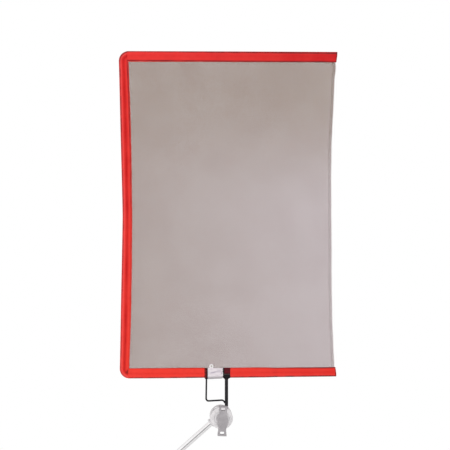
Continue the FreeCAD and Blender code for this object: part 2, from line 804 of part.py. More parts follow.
def make_nut():
    """The hexagon nut that the clamp screw works in, sunk in the casting's back."""
    y0, y1 = BODY_BACK - NUT_DEPTH, BODY_BACK - NUT_DEPTH + NUT_THICK
    nut = hexagon(NUT_FLATS, y0, y1)
    radius = NUT_FLATS / math.sqrt(3)
    cone = turned(
        [(0, y0), (radius + 1, y0), (radius + 1, y1 - 1.6), (radius - 1.0, y1), (0, y1)]
    )
    hole = bar_y(SCREW_R + THREAD_FIT, y0 - PAST, y1 + PAST)
    return biggest(nut.common(cone).cut(hole))


def make_screw():
    """The clamp screw, with thread ridges along its tail and a ring's groove."""
    profile = [(0, SCREW_NOSE), (SCREW_R, SCREW_NOSE)]
    root = SCREW_R - THREAD_DEPTH
    y = BODY_BACK - NUT_DEPTH - THREAD_LEAD
    while y < SCREW_TAIL - THREAD_PITCH:
        profile += [(SCREW_R, y + 0.3), (root, y + 0.8), (SCREW_R, y + 1.3)]
        y += THREAD_PITCH
    profile += [(SCREW_R, SCREW_TAIL - 0.9), (SCREW_R - 0.9, SCREW_TAIL)]
    screw = turned(profile + [(0, SCREW_TAIL)])
    y0, y1 = STOP_RING_Y, STOP_RING_Y + STOP_RING_GROOVE
    groove = bar_y(SCREW_R + 2, y0, y1).cut(bar_y(SCREW_R - STOP_RING_DEPTH, y0, y1))
    return biggest(screw.cut(groove).cut(handle_pin_bar(ARM_PIN_R, HANDLE_HUB)))


def make_stop_ring():
    """The snap ring that stops the screw from being wound right out."""
    inner, outer = SCREW_R - STOP_RING_DEPTH + FACE_GAP, SCREW_R + STOP_RING_WALL
    y0, y1 = STOP_RING_Y + 2 * FACE_GAP, STOP_RING_Y + STOP_RING_GROOVE - 2 * FACE_GAP
    ring = bar_y(outer, y0, y1).cut(bar_y(inner, y0 - PAST, y1 + PAST))
    half = STOP_RING_OPENING
    return biggest(ring.cut(block(-half, half, y0 - PAST, y1 + PAST, 0, outer + PAST)))


# --- T-handle --------------------------------------------------------------------
def handle_outline():
    """The grip seen from the front: broad at the hub, waisted, square at its ends."""
    side = [
        (HANDLE_HUB, 0.0),
        (HANDLE_HUB - 0.7, 6.0),
        (HANDLE_NECK + 2.3, 14.0),
        (HANDLE_NECK, 23.0),
        (HANDLE_NECK + 0.3, 29.0),
        (HANDLE_END, 37.0),
        (HANDLE_END + 0.4, HANDLE_HALF),
    ]
    up = [Vector(x, 0, z) for x, z in side]
    down = [Vector(x, 0, -z) for x, z in reversed(side[1:])]
    right = Part.BSplineCurve()
    right.interpolate(down + up)
    edge = right.toShape()
    mirrored = edge.mirror(Vector(), Vector(1, 0, 0))
    corner = HANDLE_END + 0.4
    ends = [
        Part.LineSegment(
            Vector(-corner, 0, s * HANDLE_HALF), Vector(corner, 0, s * HANDLE_HALF)
        ).toShape()
        for s in (1, -1)
    ]
    return [edge, mirrored] + ends


def handle_side():
    """The grip seen from the side: its wings sweep forward and thin out."""
    wing_back, wing_front = HANDLE_FRONT + WING_DEPTH, HANDLE_FRONT
    half = [
        (HANDLE_BACK, 0.0),
        (HANDLE_BACK, 10.5),
        (HANDLE_BACK - 7.0, 11.5),
        (wing_back + 6.0, 16.5),
        (wing_back, 26.0),
        (wing_back - 2.0, HANDLE_HALF + 2),
        (wing_front - 0.5, HANDLE_HALF + 2),
        (wing_front + 1.4, 22.0),
        (wing_front, 10.0),
        (wing_front, 0.0),
    ]
    loop = half + [(y, -z) for y, z in reversed(half[1:-1])]
    points = [Vector(0, y, z) for y, z in loop]
    face = Part.Face(Part.makePolygon(points + points[:1]))
    face.translate(Vector(-CLEAR, 0, 0))
    return face.extrude(Vector(2 * CLEAR, 0, 0))


def window_cutter(z):
    """A through window with rounded corners near one end of the grip."""
    width, height = WINDOW
    cutter = block(-width / 2, width / 2, -WIDE, 0, z - height / 2, z + height / 2)
    edges = [e for e in cutter.Edges if e.BoundBox.YLength > WIDE / 2]
    return cutter.makeFillet(WINDOW_ROUND, edges)


def make_handle():
    grip = slab(handle_outline(), -WIDE, 0).common(handle_side())
    slim, stout = HUB_R
    waist_y, nose_y = HUB_Y
    hub = [(0, HANDLE_BACK), (slim, HANDLE_BACK), (stout, waist_y), (stout, nose_y), (0, nose_y)]
    grip = biggest(grip.fuse(turned(hub)).removeSplitter())
    boxes = [(e, e.BoundBox) for e in grip.Edges]
    front = [e for e, b in boxes if b.YMax < HANDLE_FRONT + 3 and b.ZLength > 4]
    grip = grip.makeFillet(HANDLE_SOFT, front)
    boxes = [(e, e.BoundBox) for e in grip.Edges if e.BoundBox.XLength > HANDLE_END]
    ends = [e for e, b in boxes if abs(abs(b.ZMax) - HANDLE_HALF) < 0.3]
    grip = grip.makeFillet(HANDLE_END_SOFT, ends)
    for z in (WINDOW_Z, -WINDOW_Z):
        grip = grip.cut(window_cutter(z))
    grip = grip.cut(bar_y(SCREW_R + PIN_FIT, SCREW_NOSE - 0.2, 0))
    return biggest(grip.cut(handle_pin_bar(ARM_PIN_R, CLEAR)))


def handle_pin_bar(radius, half):
    return rod(radius, Vector(-half, HANDLE_PIN_Y, 0), Vector(half, HANDLE_PIN_Y, 0))


def make_handle_pin():
    """The cross pin that ties the grip to the screw."""
    return handle_pin_bar(ARM_PIN_R - PIN_FIT, HANDLE_HUB - 0.8)


def leaned(shape):
    """The handle's parts stand a little off upright."""
    return shape.rotated(Vector(), DEEP, HANDLE_LEAN)


def parts():
    """Every node and its shape, about the jaws' centre."""
    made = {
        "frame_rod": make_frame_rod(),
        "rod_tip_caps": make_tip_caps(),
        "net_front_layer": make_net(True),
        "net_back_layer": make_net(False),
        "net_edge_hem": make_hem(),
        "mounting_pin": make_pin(),
        "brace_rod": make_brace(),
        "weld_beads": make_welds(),
        "label_wrap": make_label(),
        "label_eyelet": make_eyelet(),
        "outer_jaw": make_outer_jaw(),
        "inner_jaw": make_inner_jaw(),
        "alignment_dowel": make_dowel(),
        "jaw_spring": make_spring(),
        "thrust_washer": make_washer(),
        "friction_disc": make_friction_disc(),
        "arm_body": make_arm_body(),
        "arm_rod": make_arm(),
        "arm_roll_pin": make_arm_pin(),
        "clamp_nut": make_nut(),
        "clamp_screw": leaned(make_screw()),
        "screw_stop_ring": make_stop_ring(),
        "t_handle": leaned(make_handle()),
        "handle_pin": leaned(make_handle_pin()),
    }
    made.update(bindings())
    made.update(make_wraps())
    return made


def main():
    os.makedirs("parts", exist_ok=True)
    for name, shape in parts().items():
        shape = biggest(shape.translated(HEAD))
        shape.exportStep(f"parts/{name}.step")
        state = "ok" if shape.isValid() else "NOT VALID"
        print(f"{name}: {len(shape.Solids)} solids, {shape.Volume:.0f} mm3, {state}")


main()
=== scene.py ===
import math

import bpy
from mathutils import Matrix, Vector, noise


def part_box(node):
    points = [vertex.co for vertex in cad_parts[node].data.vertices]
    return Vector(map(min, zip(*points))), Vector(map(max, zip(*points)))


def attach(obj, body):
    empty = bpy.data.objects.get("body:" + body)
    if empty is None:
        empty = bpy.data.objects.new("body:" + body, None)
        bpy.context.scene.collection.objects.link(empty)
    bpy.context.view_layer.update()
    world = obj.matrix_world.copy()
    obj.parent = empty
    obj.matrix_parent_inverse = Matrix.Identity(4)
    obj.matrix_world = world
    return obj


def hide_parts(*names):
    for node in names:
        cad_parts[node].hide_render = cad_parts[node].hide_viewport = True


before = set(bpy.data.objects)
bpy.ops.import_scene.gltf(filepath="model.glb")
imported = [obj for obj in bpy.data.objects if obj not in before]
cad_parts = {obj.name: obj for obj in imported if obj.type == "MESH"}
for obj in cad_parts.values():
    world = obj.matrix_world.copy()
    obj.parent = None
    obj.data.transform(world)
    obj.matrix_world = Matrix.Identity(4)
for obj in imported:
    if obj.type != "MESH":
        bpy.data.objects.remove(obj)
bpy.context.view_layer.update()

# Metres, in the part's own frame: +Z up, seen from -Y, the arm's free end at the origin.
MM = 0.001

# --- where the CAD says things are
PIN_LOW, PIN_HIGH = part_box("mounting_pin")
PIN_X = (PIN_LOW.x + PIN_HIGH.x) / 2
PIN_R = (PIN_HIGH.x - PIN_LOW.x) / 2
PLANE_Y = (PIN_LOW.y + PIN_HIGH.y) / 2
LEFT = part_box("binding_left")[0].x
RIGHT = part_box("binding_top")[1].x
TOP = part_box("binding_top")[1].z
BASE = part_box("binding_bottom_left")[0].z
MIDDLE = (TOP + BASE) / 2
WRAP_LEFT = tuple(corner.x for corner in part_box("end_wrap_left"))
WRAP_RIGHT = tuple(corner.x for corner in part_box("end_wrap_right"))
LABEL_LOW, LABEL_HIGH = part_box("label_wrap")
FRAME_R = 2.4 * MM
BRACE_SPLAY = 1.2 * MM
BRACE_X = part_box("brace_rod")[0].x + FRAME_R + BRACE_SPLAY

# --- the frame's outline, as in the CAD model
SLEEVE_R = 4.0 * MM
BEND_R = 23.5 * MM
TIGHT_R = 0.3 * MM
SIDE_BOW = 9.0 * MM
TIP_PULL = 0.8 * MM
BINDING_WIDTH = 27.0 * MM
NET_EDGE_INSET = 4.0 * MM
NET_EDGE_BOW = 13.5 * MM
HEM_MM = 10.0

ROD_TOP = TOP - SLEEVE_R
SIDE_HALF = ROD_TOP - MIDDLE - BEND_R
SIDE_R = (SIDE_HALF**2 + SIDE_BOW**2) / (2 * SIDE_BOW)
ARM_SPAN = RIGHT - LEFT - SLEEVE_R - BEND_R
REACH_R = ARM_SPAN**2 / (2 * TIP_PULL)
SIDE_C = Vector((LEFT + SLEEVE_R + SIDE_BOW - SIDE_R, 0, MIDDLE))
REACH_C = Vector((LEFT + SLEEVE_R + BEND_R, 0, ROD_TOP - REACH_R))


# --- small helpers
def spread(a, b, count):
    """Evenly spaced values from a to b."""
    return [a + (b - a) * i / (count - 1) for i in range(count)]


def clamp(value):
    return min(1.0, max(0.0, value))


def between(pair, f):
    """The value at a share f of the way from a pair's first to its second."""
    return pair[0] + (pair[1] - pair[0]) * f


def hump(value, at, reach):
    """1 at a place, falling smoothly to 0 past its reach on either side."""
    return math.exp(-(((value - at) / reach) ** 2))


def soft_band(value, low, high, soft):
    """1 between low and high, falling smoothly to 0 over soft on either side."""
    return hump(max(low - value, value - high, 0.0), 0.0, soft)


def wander(x, y, z, scale, amount):
    """Smooth unevenness: the same at the same place each time."""
    return noise.noise(Vector((x, y, z)) / scale) * amount


def travelled(points):
    """How far along the line each point is."""
    total, out = 0.0, [0.0]
    for a, b in zip(points, points[1:]):
        total += (b - a).length
        out.append(total)
    return out


# --- outline lines
def crossing(c1, r1, c2, r2):
    """The rightmost crossing above MIDDLE of two circles in the XZ plane."""
    across = c2 - c1
    gap = across.length
    along = (r1**2 - r2**2 + gap**2) / (2 * gap)
    off = math.sqrt(r1**2 - along**2)
    across.normalize()
    normal = Vector((-across.z, 0, across.x))
    found = [c1 + across * along + normal * off * side for side in (1, -1)]
    return max((p for p in found if p.z > MIDDLE), key=lambda p: p.x)


CORNER = crossing(SIDE_C, SIDE_R + BEND_R, REACH_C, REACH_R - BEND_R)
CORNER_STEPS = 20
OVERLAP = 1.2 * MM
SEAM_X = CORNER.x - 4.0 * MM

# points along each line, and the first few from an arm's open end, in mm
TOP_STEPS = 320
SIDE_STEPS = 460
BOTTOM_LEFT_STEPS = 130
BOTTOM_RIGHT_STEPS = 160
TIP_PLACES = (0, 0.6, 1.2, 1.8, 2.4, 3.0)
PAST_TIP = 3.8


def flipped(point):
    """The point mirrored between the scrim's top and bottom halves."""
    return Vector((point.x, point.y, 2 * MIDDLE - point.z))


def on_reach(inset, x):
    """The top arm's line at x, at an inset from the rod's centre."""
    rise = math.sqrt((REACH_R - inset) ** 2 - (x - REACH_C.x) ** 2)
    return Vector((x, 0, REACH_C.z + rise))


def on_side(inset, z):
    """The left side's line at z, at an inset from the rod's centre."""
    reach = math.sqrt((SIDE_R + inset) ** 2 - (z - SIDE_C.z) ** 2)
    return Vector((SIDE_C.x + reach, 0, z))


def corner_points(inset, steps):
    """Round the top-left corner from the arm to the side; a single point if tight."""
    radius = BEND_R - inset
    if radius < TIGHT_R:
        point = crossing(SIDE_C, SIDE_R + inset, REACH_C, REACH_R - inset)
        return [point] * (steps + 1)
    start = (CORNER - REACH_C).normalized()
    end = (SIDE_C - CORNER).normalized()
    a0, a1 = math.atan2(start.z, start.x), math.atan2(end.z, end.x)
    if a1 < a0:
        a1 += 2 * math.pi
    angles = spread(a0, a1, steps + 1)
    return [CORNER + Vector((math.cos(a), 0, math.sin(a))) * radius for a in angles]


def from_tip(to_x, count):
    """Places along an arm from its open end, closer together near the end."""
    near = [RIGHT - d * MM for d in TIP_PLACES]
    return near + spread(RIGHT - PAST_TIP * MM, to_x, count)


def line_top(inset):
    return [on_reach(inset, x) for x in from_tip(SEAM_X, TOP_STEPS)]


def line_left(inset):
    """Round the top corner, down the side and round the bottom corner, lapping both arms."""
    corner = corner_points(inset, CORNER_STEPS)
    top_z = corner[-1].z
    side = [on_side(inset, z) for z in spread(top_z, 2 * MIDDLE - top_z, SIDE_STEPS)]
    upper = [on_reach(inset, CORNER.x + OVERLAP)] + corner[:-1]
    return upper + side + [flipped(p) for p in reversed(upper)]


def line_bottom_left(inset):
    xs = spread(SEAM_X, WRAP_LEFT[0], BOTTOM_LEFT_STEPS)
    return [flipped(on_reach(inset, x)) for x in xs]


def line_bottom_right(inset):
    xs = from_tip(WRAP_RIGHT[1], BOTTOM_RIGHT_STEPS)
    return [flipped(on_reach(inset, x)) for x in xs]


# how the net's open edge strays from its arc: (amount, at, reach) in mm from either end
EDGE_OUT = 1.1
EDGE_FROM_TOP = ((-2.4, 0, 5), (1.6, 22, 15), (1.0, 130, 45), (3.4, 490, 170))
EDGE_FROM_LOW = ((-0.8, 0, 6), (-0.6, 0, 130))


def net_edge(z):
    """The net's open edge at a height: an arc drawn in towards the middle."""
    half = (TOP - BASE) / 2 - BINDING_WIDTH
    radius = (half**2 + NET_EDGE_BOW**2) / (2 * NET_EDGE_BOW)
    centre_x = RIGHT - NET_EDGE_INSET - NET_EDGE_BOW + radius
    return centre_x - math.sqrt(radius**2 - (z - MIDDLE) ** 2)


def free_edge(z):
    """The net's edge as it hangs: pinched in at its ends, slack just past them."""
    from_top = (TOP - BINDING_WIDTH - z) / MM
    from_low = (z - BASE - BINDING_WIDTH) / MM
    stray = EDGE_OUT + wander(0, 4.0, z, 0.05, 0.5)
    stray += sum(amount * hump(from_top, at, reach) for amount, at, reach in EDGE_FROM_TOP)
    stray += sum(amount * hump(from_low, at, reach) for amount, at, reach in EDGE_FROM_LOW)
    return net_edge(z) + stray * MM


def net_heights(inset, count):
    """Heights from the lower arm's inset line to the upper one's."""
    top = ROD_TOP - inset
    return spread(2 * MIDDLE - top, top, count)


# --- meshes
def grid_faces(count, width, closed=False, first=0):
    """Quads between rows of points that are numbered on from first."""
    faces = []
    for i in range(count - 1):
        for j in range(width if closed else width - 1):
            a = first + i * width + j
            b = first + i * width + (j + 1) % width
            faces.append((a, b, b + width, a + width))
    return faces


def grid_piece(name, rows, closed=False, marks=None):
    """A surface through rows of points, with optional named numbers on its points."""
    points = [p for row in rows for p in row]
    return mesh_piece(name, points, grid_faces(len(rows), len(rows[0]), closed), marks)


def mesh_piece(name, points, faces, marks=None):
    mesh = bpy.data.meshes.new(name)
    mesh.from_pydata([tuple(p) for p in points], [], faces)
    for mark, values in (marks or {}).items():
        layer = mesh.attributes.new(mark, "FLOAT", "POINT")
        layer.data.foreach_set("value", values)
    mesh.shade_smooth()
    mesh.update()
    piece = bpy.data.objects.new(name, mesh)
    bpy.context.scene.collection.objects.link(piece)
    return piece


# --- shading helpers
def feed(tree, socket, value):
    """Put a number, a colour or another node's output into a node's socket."""
    if hasattr(value, "is_linked"):
        tree.links.new(value, socket)
    elif socket.type == "RGBA":
        socket.default_value = (*value, 1)
    else:
        socket.default_value = value


class Look:
    """A node material, built up a node at a time."""

    def __init__(self, name, colour, rough, metallic=0.0, specular=None):
        self.material = bpy.data.materials.new(name)
        self.material.use_nodes = True
        self.tree = self.material.node_tree
        self.shader = self.tree.nodes["Principled BSDF"]
        self.set("Base Color", colour)
        self.set("Roughness", rough)
        self.set("Metallic", metallic)
        if specular is not None:
            self.set("Specular IOR Level", specular)
        self.relief = None

    def set(self, socket, value):
        feed(self.tree, self.shader.inputs[socket], value)

    def node(self, kind, out=0, settings=None, **inputs):
        """A new node's output; inputs go by name, or by number as i0, i1 and so on."""
        made = self.tree.nodes.new(kind)
        for key, value in (settings or {}).items():
            setattr(made, key, value)
        for key, value in inputs.items():
            numbered = key[0] == "i" and key[1:].isdigit()
            place = int(key[1:]) if numbered else key.replace("_", " ")
            feed(self.tree, made.inputs[place], value)
        return made.outputs[out]

    def place(self):
        return self.node("ShaderNodeTexCoord", out="Object")

    def mark(self, name):
        return self.node("ShaderNodeAttribute", out="Fac", settings={"attribute_name": name})

    def calc(self, operation, a, b=0.0, c=0.0):
        settings = {"operation": operation}
        return self.node("ShaderNodeMath", settings=settings, i0=a, i1=b, i2=c)

    def grain(self, scale, detail=3.0, stretch=None, rough=0.5):
        """Noise over the piece, finer with a larger scale."""
        where = self.place()
        if stretch:
            where = self.node("ShaderNodeMapping", Vector=where, Scale=stretch)
        return self.node(
            "ShaderNodeTexNoise", Vector=where, Scale=scale, Detail=detail, Roughness=rough
        )

    def span(self, value, low, high, to_low=0.0, to_high=1.0, smooth=True):
        """The value's reach from low to high brought to to_low and to_high."""
        kind = "SMOOTHSTEP" if smooth else "LINEAR"
        return self.node(
            "ShaderNodeMapRange",
            settings={"interpolation_type": kind},
            i0=value,
            i1=low,
            i2=high,
            i3=to_low,
            i4=to_high,
        )

    def blend(self, factor, a, b):
        """Colour a where the factor is 0, b where it is 1."""
        settings = {"data_type": "RGBA"}
        return self.node("ShaderNodeMix", out=2, settings=settings, i0=factor, i6=a, i7=b)

    def bump(self, height, strength, distance):
        """Relief in the shading, on top of any before it."""
        before = {"Normal": self.relief} if self.relief else {}
        self.relief = self.node(
            "ShaderNodeBump", Height=height, Strength=strength, Distance=distance, **before
        )
        self.set("Normal", self.relief)


def wave(look, value, period):
    """A sine of the value, 0 to 1, with that period."""
    turn = look.calc("MULTIPLY", value, 2 * math.pi / period)
    return look.calc("MULTIPLY_ADD", look.calc("SINE", turn), 0.5, 0.5)


def weave(look, period, strength, depth):
    """Plain weave in the bump, from the piece's own along and across measures."""
    along = wave(look, look.mark("along"), period)
    across = wave(look, look.mark("across"), period)
    look.bump(look.calc("MULTIPLY", along, across), strength, depth)


def frame_place(look):
    """How far right, 0 to 1, and how far up a point of the scrim is."""
    x = look.node("ShaderNodeSeparateXYZ", out="X", Vector=look.place())
    z = look.node("ShaderNodeSeparateXYZ", out="Z", Vector=look.place())
    right = look.span(x, LEFT + 0.03, RIGHT - 0.05, smooth=False)
    up = look.span(z, BASE + 0.03, TOP - 0.03, smooth=False)
    return right, up


# --- looks
def metal_look(name, colour, rough, cast=0.0, metallic=1.0, tone=0.08):
    """Bare or plated metal: mottled tone, uneven shine, hairline scratches, cast skin."""
    look = Look(name, colour, rough, metallic)
    darker = tuple(c * (1 - tone * 2) for c in colour)
    lighter = tuple(min(1, c * (1 + tone)) for c in colour)
    mottle = look.span(look.grain(60, 4), 0.35, 0.65)
    look.set("Base Color", look.blend(mottle, darker, lighter))
    rub = look.span(look.grain(35, 5, rough=0.65), 0.3, 0.7, rough * 0.8, rough * 1.2)
    scratch = look.span(look.grain(240, 6, stretch=(1, 1, 12)), 0.60, 0.66, 0.0, 0.12)
    look.set("Roughness", look.calc("ADD", rub, scratch))
    if cast:
        look.bump(look.grain(1400, 3), cast, 0.00003)
    return look.material


def cast_look(name, colour, metallic, tone):
    return metal_look(name, colour, 0.5, cast=0.10, metallic=metallic, tone=tone)


def painted_look():
    """Black paint on steel: soft gloss, small chips down to grey metal."""
    look = Look("black_paint_on_steel", (0.010, 0.010, 0.012), 0.5, specular=0.22)
    chips = look.span(look.grain(420, 5, rough=0.7), 0.69, 0.72)
    worn = look.span(look.grain(45, 3), 0.5, 0.62)
    bare = look.calc("MULTIPLY", chips, worn)
    tone = look.blend(look.grain(90), (0.004, 0.004, 0.006), (0.018, 0.018, 0.022))
    look.set("Base Color", look.blend(bare, tone, (0.28, 0.27, 0.26)))
    look.set("Metallic", bare)
    look.set("Roughness", look.span(look.grain(200), 0.3, 0.7, 0.42, 0.6))
    look.bump(look.grain(700, 2), 0.15, 0.0002)
    return look.material


def thread_look(name, colour):
    """A plain thread or a dull moulded piece, with a fine uneven surface."""
    look = Look(name, colour, 0.6)
    dark = tuple(c * 0.6 for c in colour)
    look.set("Base Color", look.blend(look.grain(500, 2), dark, colour))
    look.bump(look.grain(1600, 2), 0.5, 0.0002)
    return look.material


BINDING_THREAD = 0.62
# painted shade: the red is lighter low down, darker higher up and darkest towards the right
RED_LIT_LOW = (0.87, 0.042, 0.026)
RED_SHADED_HIGH = (0.79, 0.030, 0.027)
RED_SHADED_RIGHT = (0.55, 0.004, 0.008)
RED_BRIGHT = (0.92, 0.070, 0.055)
RED_DULL = (0.45, 0.008, 0.010)
RED_LIT_FOLD = (1.0, 0.105, 0.105)
# painted shade in the stitch groove
RED_GROOVE_SHADE = (0.52, 0.001, 0.002)
# painted shade line along the fold's outer edge
RED_EDGE_SHADE = (0.085, 0.014, 0.014)
RED_SHADED = (0.090, 0.008, 0.010)
RED_WEFT = (0.30, 0.008, 0.010)


def binding_look():
    """Red folded cloth: weave, unevenly dyed, with painted shade up and to the right, along the
    outer edge, in its groove and in its folds, and a painted highlight on a ridge.
    """
    look = Look("red_binding_cloth", RED_LIT_LOW, 0.72, specular=0.2)
    look.set("Sheen Weight", 0.08)
    look.set("Sheen Roughness", 0.45)
    look.set("Sheen Tint", (1.0, 0.35, 0.32))
    right, up = frame_place(look)
    # painted shade: darker towards the right, more so higher up, over a red that is darker higher
    # up
    right_shade = look.calc("MULTIPLY", right, look.calc("MULTIPLY_ADD", up, 0.45, 0.55))
    right_shade = look.calc("POWER", right_shade, 1.6)
    dye_and_shade = look.blend(right_shade, look.blend(up, RED_LIT_LOW, RED_SHADED_HIGH), RED_SHADED_RIGHT)
    mottle = look.span(look.grain(22, 4), 0.3, 0.7, 0.0, 0.16)
    dye_and_shade = look.blend(mottle, dye_and_shade, RED_BRIGHT)
    dull = look.span(look.grain(31, 5), 0.5, 0.75, 0.0, 0.22)
    dye_and_shade = look.blend(dull, dye_and_shade, RED_DULL)
    dye_and_shade = look.blend(look.mark("light"), dye_and_shade, RED_LIT_FOLD)
    # painted shade: darker red in the stitch groove
    dye_and_shade = look.blend(look.mark("valley"), dye_and_shade, RED_GROOVE_SHADE)
    uneven = look.span(look.grain(40, 4), 0.35, 0.6, 0.55, 1.0)
    # painted shade: a dark line along the fold's outer edge, unevenly strong
    dye_and_shade = look.blend(look.calc("MULTIPLY", uneven, look.mark("edge_shade")), dye_and_shade, RED_EDGE_SHADE)
    dye_and_shade = look.blend(look.mark("shade"), dye_and_shade, RED_SHADED)
    thread = wave(look, look.mark("along"), BINDING_THREAD)
    look.set("Base Color", look.blend(look.calc("MULTIPLY", thread, 0.10), dye_and_shade, RED_WEFT))
    look.set("Roughness", look.span(look.grain(120), 0.3, 0.7, 0.62, 0.82))
    weave(look, BINDING_THREAD, 0.45, 0.00010)
    look.bump(look.grain(240, 4), 0.22, 0.0004)
    return look.material


NET_PITCH = 1.3
# painted shade: the net is darker and warmer near the top and left, paler low down and to the
# right
NET_SHADED_TOP = (0.215, 0.122, 0.078)
NET_LIT_LOW = (0.405, 0.322, 0.338)
NET_CLOUD = (0.20, 0.16, 0.14)


def net_look(name, turn):
    """Fine net: a honeycomb of thread round open holes, with painted shade that makes it darker
    and warmer near the top and left.
    """
    look = Look(name, NET_LIT_LOW, 0.85, specular=0.2)
    multiply, dot = {"operation": "MULTIPLY"}, {"operation": "DOT_PRODUCT"}
    in_mm = (1 / MM, 0, 1 / MM)
    where = look.node("ShaderNodeVectorMath", settings=multiply, i0=look.place(), i1=in_mm)
    rows = look.span(look.grain(13, 3), 0.3, 0.7, -0.06, 0.06)
    for step in range(3):
        angle = math.radians(turn + 60 * step)
        turns = 2 * math.pi / NET_PITCH
        way = (math.cos(angle) * turns, 0, math.sin(angle) * turns)
        phase = look.node("ShaderNodeVectorMath", out="Value", settings=dot, i0=where, i1=way)
        rows = look.calc("ADD", rows, look.calc("COSINE", phase))
    look.set("Alpha", look.span(rows, -0.75, -0.05, 1.0, 0.0))
    right, up = frame_place(look)
    # painted shade: how much of the paler colour the net gets, low down and towards the right
    low = look.span(up, 0.5, 0.92, 1.0, 0.0)
    clean_and_lit = look.calc("MULTIPLY", low, look.calc("MULTIPLY_ADD", right, 0.7, 0.3))
    tone = look.blend(clean_and_lit, NET_SHADED_TOP, NET_LIT_LOW)
    cloud = look.span(look.grain(7, 3), 0.3, 0.7, 0.0, 0.06)
    look.set("Base Color", look.blend(cloud, tone, NET_CLOUD))
    look.bump(rows, 0.35, 0.0002)
    return look.material


HEM_THREAD = 0.9
# painted shade: the hem is darker towards the top
HEM_LOW = (0.62, 0.55, 0.56)
HEM_SHADED_HIGH = (0.28, 0.21, 0.195)
HEM_MOTTLE = (0.22, 0.18, 0.18)
HEM_KNOT = (0.012, 0.008, 0.008)


def hem_look():
    """Grey tape over the net's edge, see-through like the net, darker towards the top with painted
    shade, and darker where it is knotted.
    """
    look = Look("net_hem_tape", HEM_LOW, 0.85, specular=0.2)
    _, up = frame_place(look)
    # painted shade: darker towards the top
    tone = look.blend(look.span(up, 0.45, 0.95), HEM_LOW, HEM_SHADED_HIGH)
    mottle = look.span(look.grain(70, 3), 0.35, 0.65, 0.0, 0.3)
    knot = look.mark("shade")
    tone = look.blend(knot, look.blend(mottle, tone, HEM_MOTTLE), HEM_KNOT)
    look.set("Base Color", tone)
    thread = wave(look, look.mark("along"), HEM_THREAD)
    filled = look.calc("MULTIPLY_ADD", thread, 0.10, 0.06)
    look.set("Alpha", look.calc("MAXIMUM", filled, knot))
    weave(look, HEM_THREAD, 0.4, 0.00015)
    return look.material


TAPE_BLACK = (0.004, 0.004, 0.005)
TAPE_GREY = (0.018, 0.015, 0.018)
TAPE_WORN = (0.30, 0.27, 0.23)


def tape_look(name, clear_from, clear_to, clear_low, tint, stripe):
    """Black cloth tape; part of it is thin, and the red cloth under it shows in stripes.

    The thin part runs from clear_from to clear_to along the tape and up from clear_low
    across it, and stripe is the stripes' pitch, all in mm.
    """
    look = Look(name, TAPE_GREY, 0.7, specular=0.12)
    tone = look.blend(look.grain(150), TAPE_BLACK, TAPE_GREY)
    along, across = look.mark("along"), look.mark("across")
    starts = look.span(along, clear_from - 0.5, clear_from + 0.5)
    ends = look.span(along, clear_to - 0.5, clear_to + 0.5, 1.0, 0.0)
    above = look.span(across, clear_low - 2, clear_low + 1)
    inside = look.calc("MULTIPLY", look.calc("MULTIPLY", starts, ends), above)
    bands = look.calc("MULTIPLY_ADD", wave(look, across, stripe), 0.45, 0.55)
    streak = look.span(look.grain(260, 4, stretch=(0.3, 1, 2.5)), 0.3, 0.6, 0.55, 1.0)
    shown = look.calc("MULTIPLY", inside, look.calc("MULTIPLY", bands, streak))
    tone = look.blend(shown, tone, tint)
    off_edge = look.calc("ABSOLUTE", look.calc("SUBTRACT", across, clear_low - 2.5))
    edge = look.span(off_edge, 0.3, 0.9, 0.5, 0.0)
    worn = look.calc("MULTIPLY", edge, look.grain(420, 3))
    look.set("Base Color", look.blend(worn, tone, TAPE_WORN))
    weave(look, 0.7, 0.5, 0.00015)
    look.bump(look.grain(350, 3), 0.35, 0.0003)
    return look.material


# painted shade where the label turns under the rail
LABEL_SHADED_UNDER = (0.42, 0.40, 0.425)
# painted shade in the label's creases
LABEL_CREASE_SHADE = (0.40, 0.36, 0.44)


def label_look(name, clean_and_lit, grimy):
    """White coated cloth: grimy in a random mottle, with painted shade in its creases and where it
    turns under the rail.
    """
    look = Look(name, clean_and_lit, 0.5, specular=0.3)
    mottle = look.span(look.grain(90, 5), 0.35, 0.7, 0.0, 0.5)
    # painted shade: grey where the label turns under the rail
    under = look.span(look.mark("across"), 7.2, 9.2, 0.95, 0.0)
    tone = look.blend(under, look.blend(mottle, clean_and_lit, grimy), LABEL_SHADED_UNDER)
    # painted shade in the creases, from the shade mark
    look.set("Base Color", look.blend(look.mark("shade"), tone, LABEL_CREASE_SHADE))
    look.set("Roughness", look.span(look.grain(180), 0.3, 0.7, 0.42, 0.62))
    weave(look, 0.45, 0.2, 0.00006)
    look.bump(look.grain(230, 4), 0.2, 0.0003)
    return look.material


# --- binding
# in mm, measured in from the rod's centre line
STITCH_AT = 9.3
STITCH_OFFSET = 2.8
GROOVE_DEEP = 1.2
NOSE = 3.7
FLAT_FROM = 2.0
HOLLOW_REACH = 4.3

# the cloth folded under at the bottom corner
FOLD_HIGH = BASE + 20.5 * MM
FOLD_WIDE = 9.0 * MM
FOLD_TALL = 15.0 * MM
FOLD_SKEW = 5.0 * MM
FOLD_SHADE = 0.62
FOLD_DEEP = 0.8


def binding_profile(width, groove):
    """(inset, front offset) in mm round the fold, from the front hem to the back hem."""
    hem = width - NOSE
    front = [(hem - 6.5, 0.75), (hem - 2.6, 0.85), (hem - 0.7, 1.0), (hem, 1.4)]
    front += [(hem - 0.4, 1.95), (hem - 1.7, 2.4)]
    for w in spread(hem - 3.6, 2.2, 15):
        swell = 0.95 * max(0.0, 1 - max(0.0, w - 1.5) / 7.5) ** 1.2
        dip = groove * GROOVE_DEEP * hump(w, STITCH_AT, 3.4)
        front.append((w, 2.65 + swell - dip))
    turn = [math.radians(a) for a in range(85, -86, -17)]
    nose = [(0.4 - 4.1 * math.cos(a), 3.9 * math.sin(a)) for a in turn]
    return front + nose + [(w, -y) for w, y in reversed(front)]


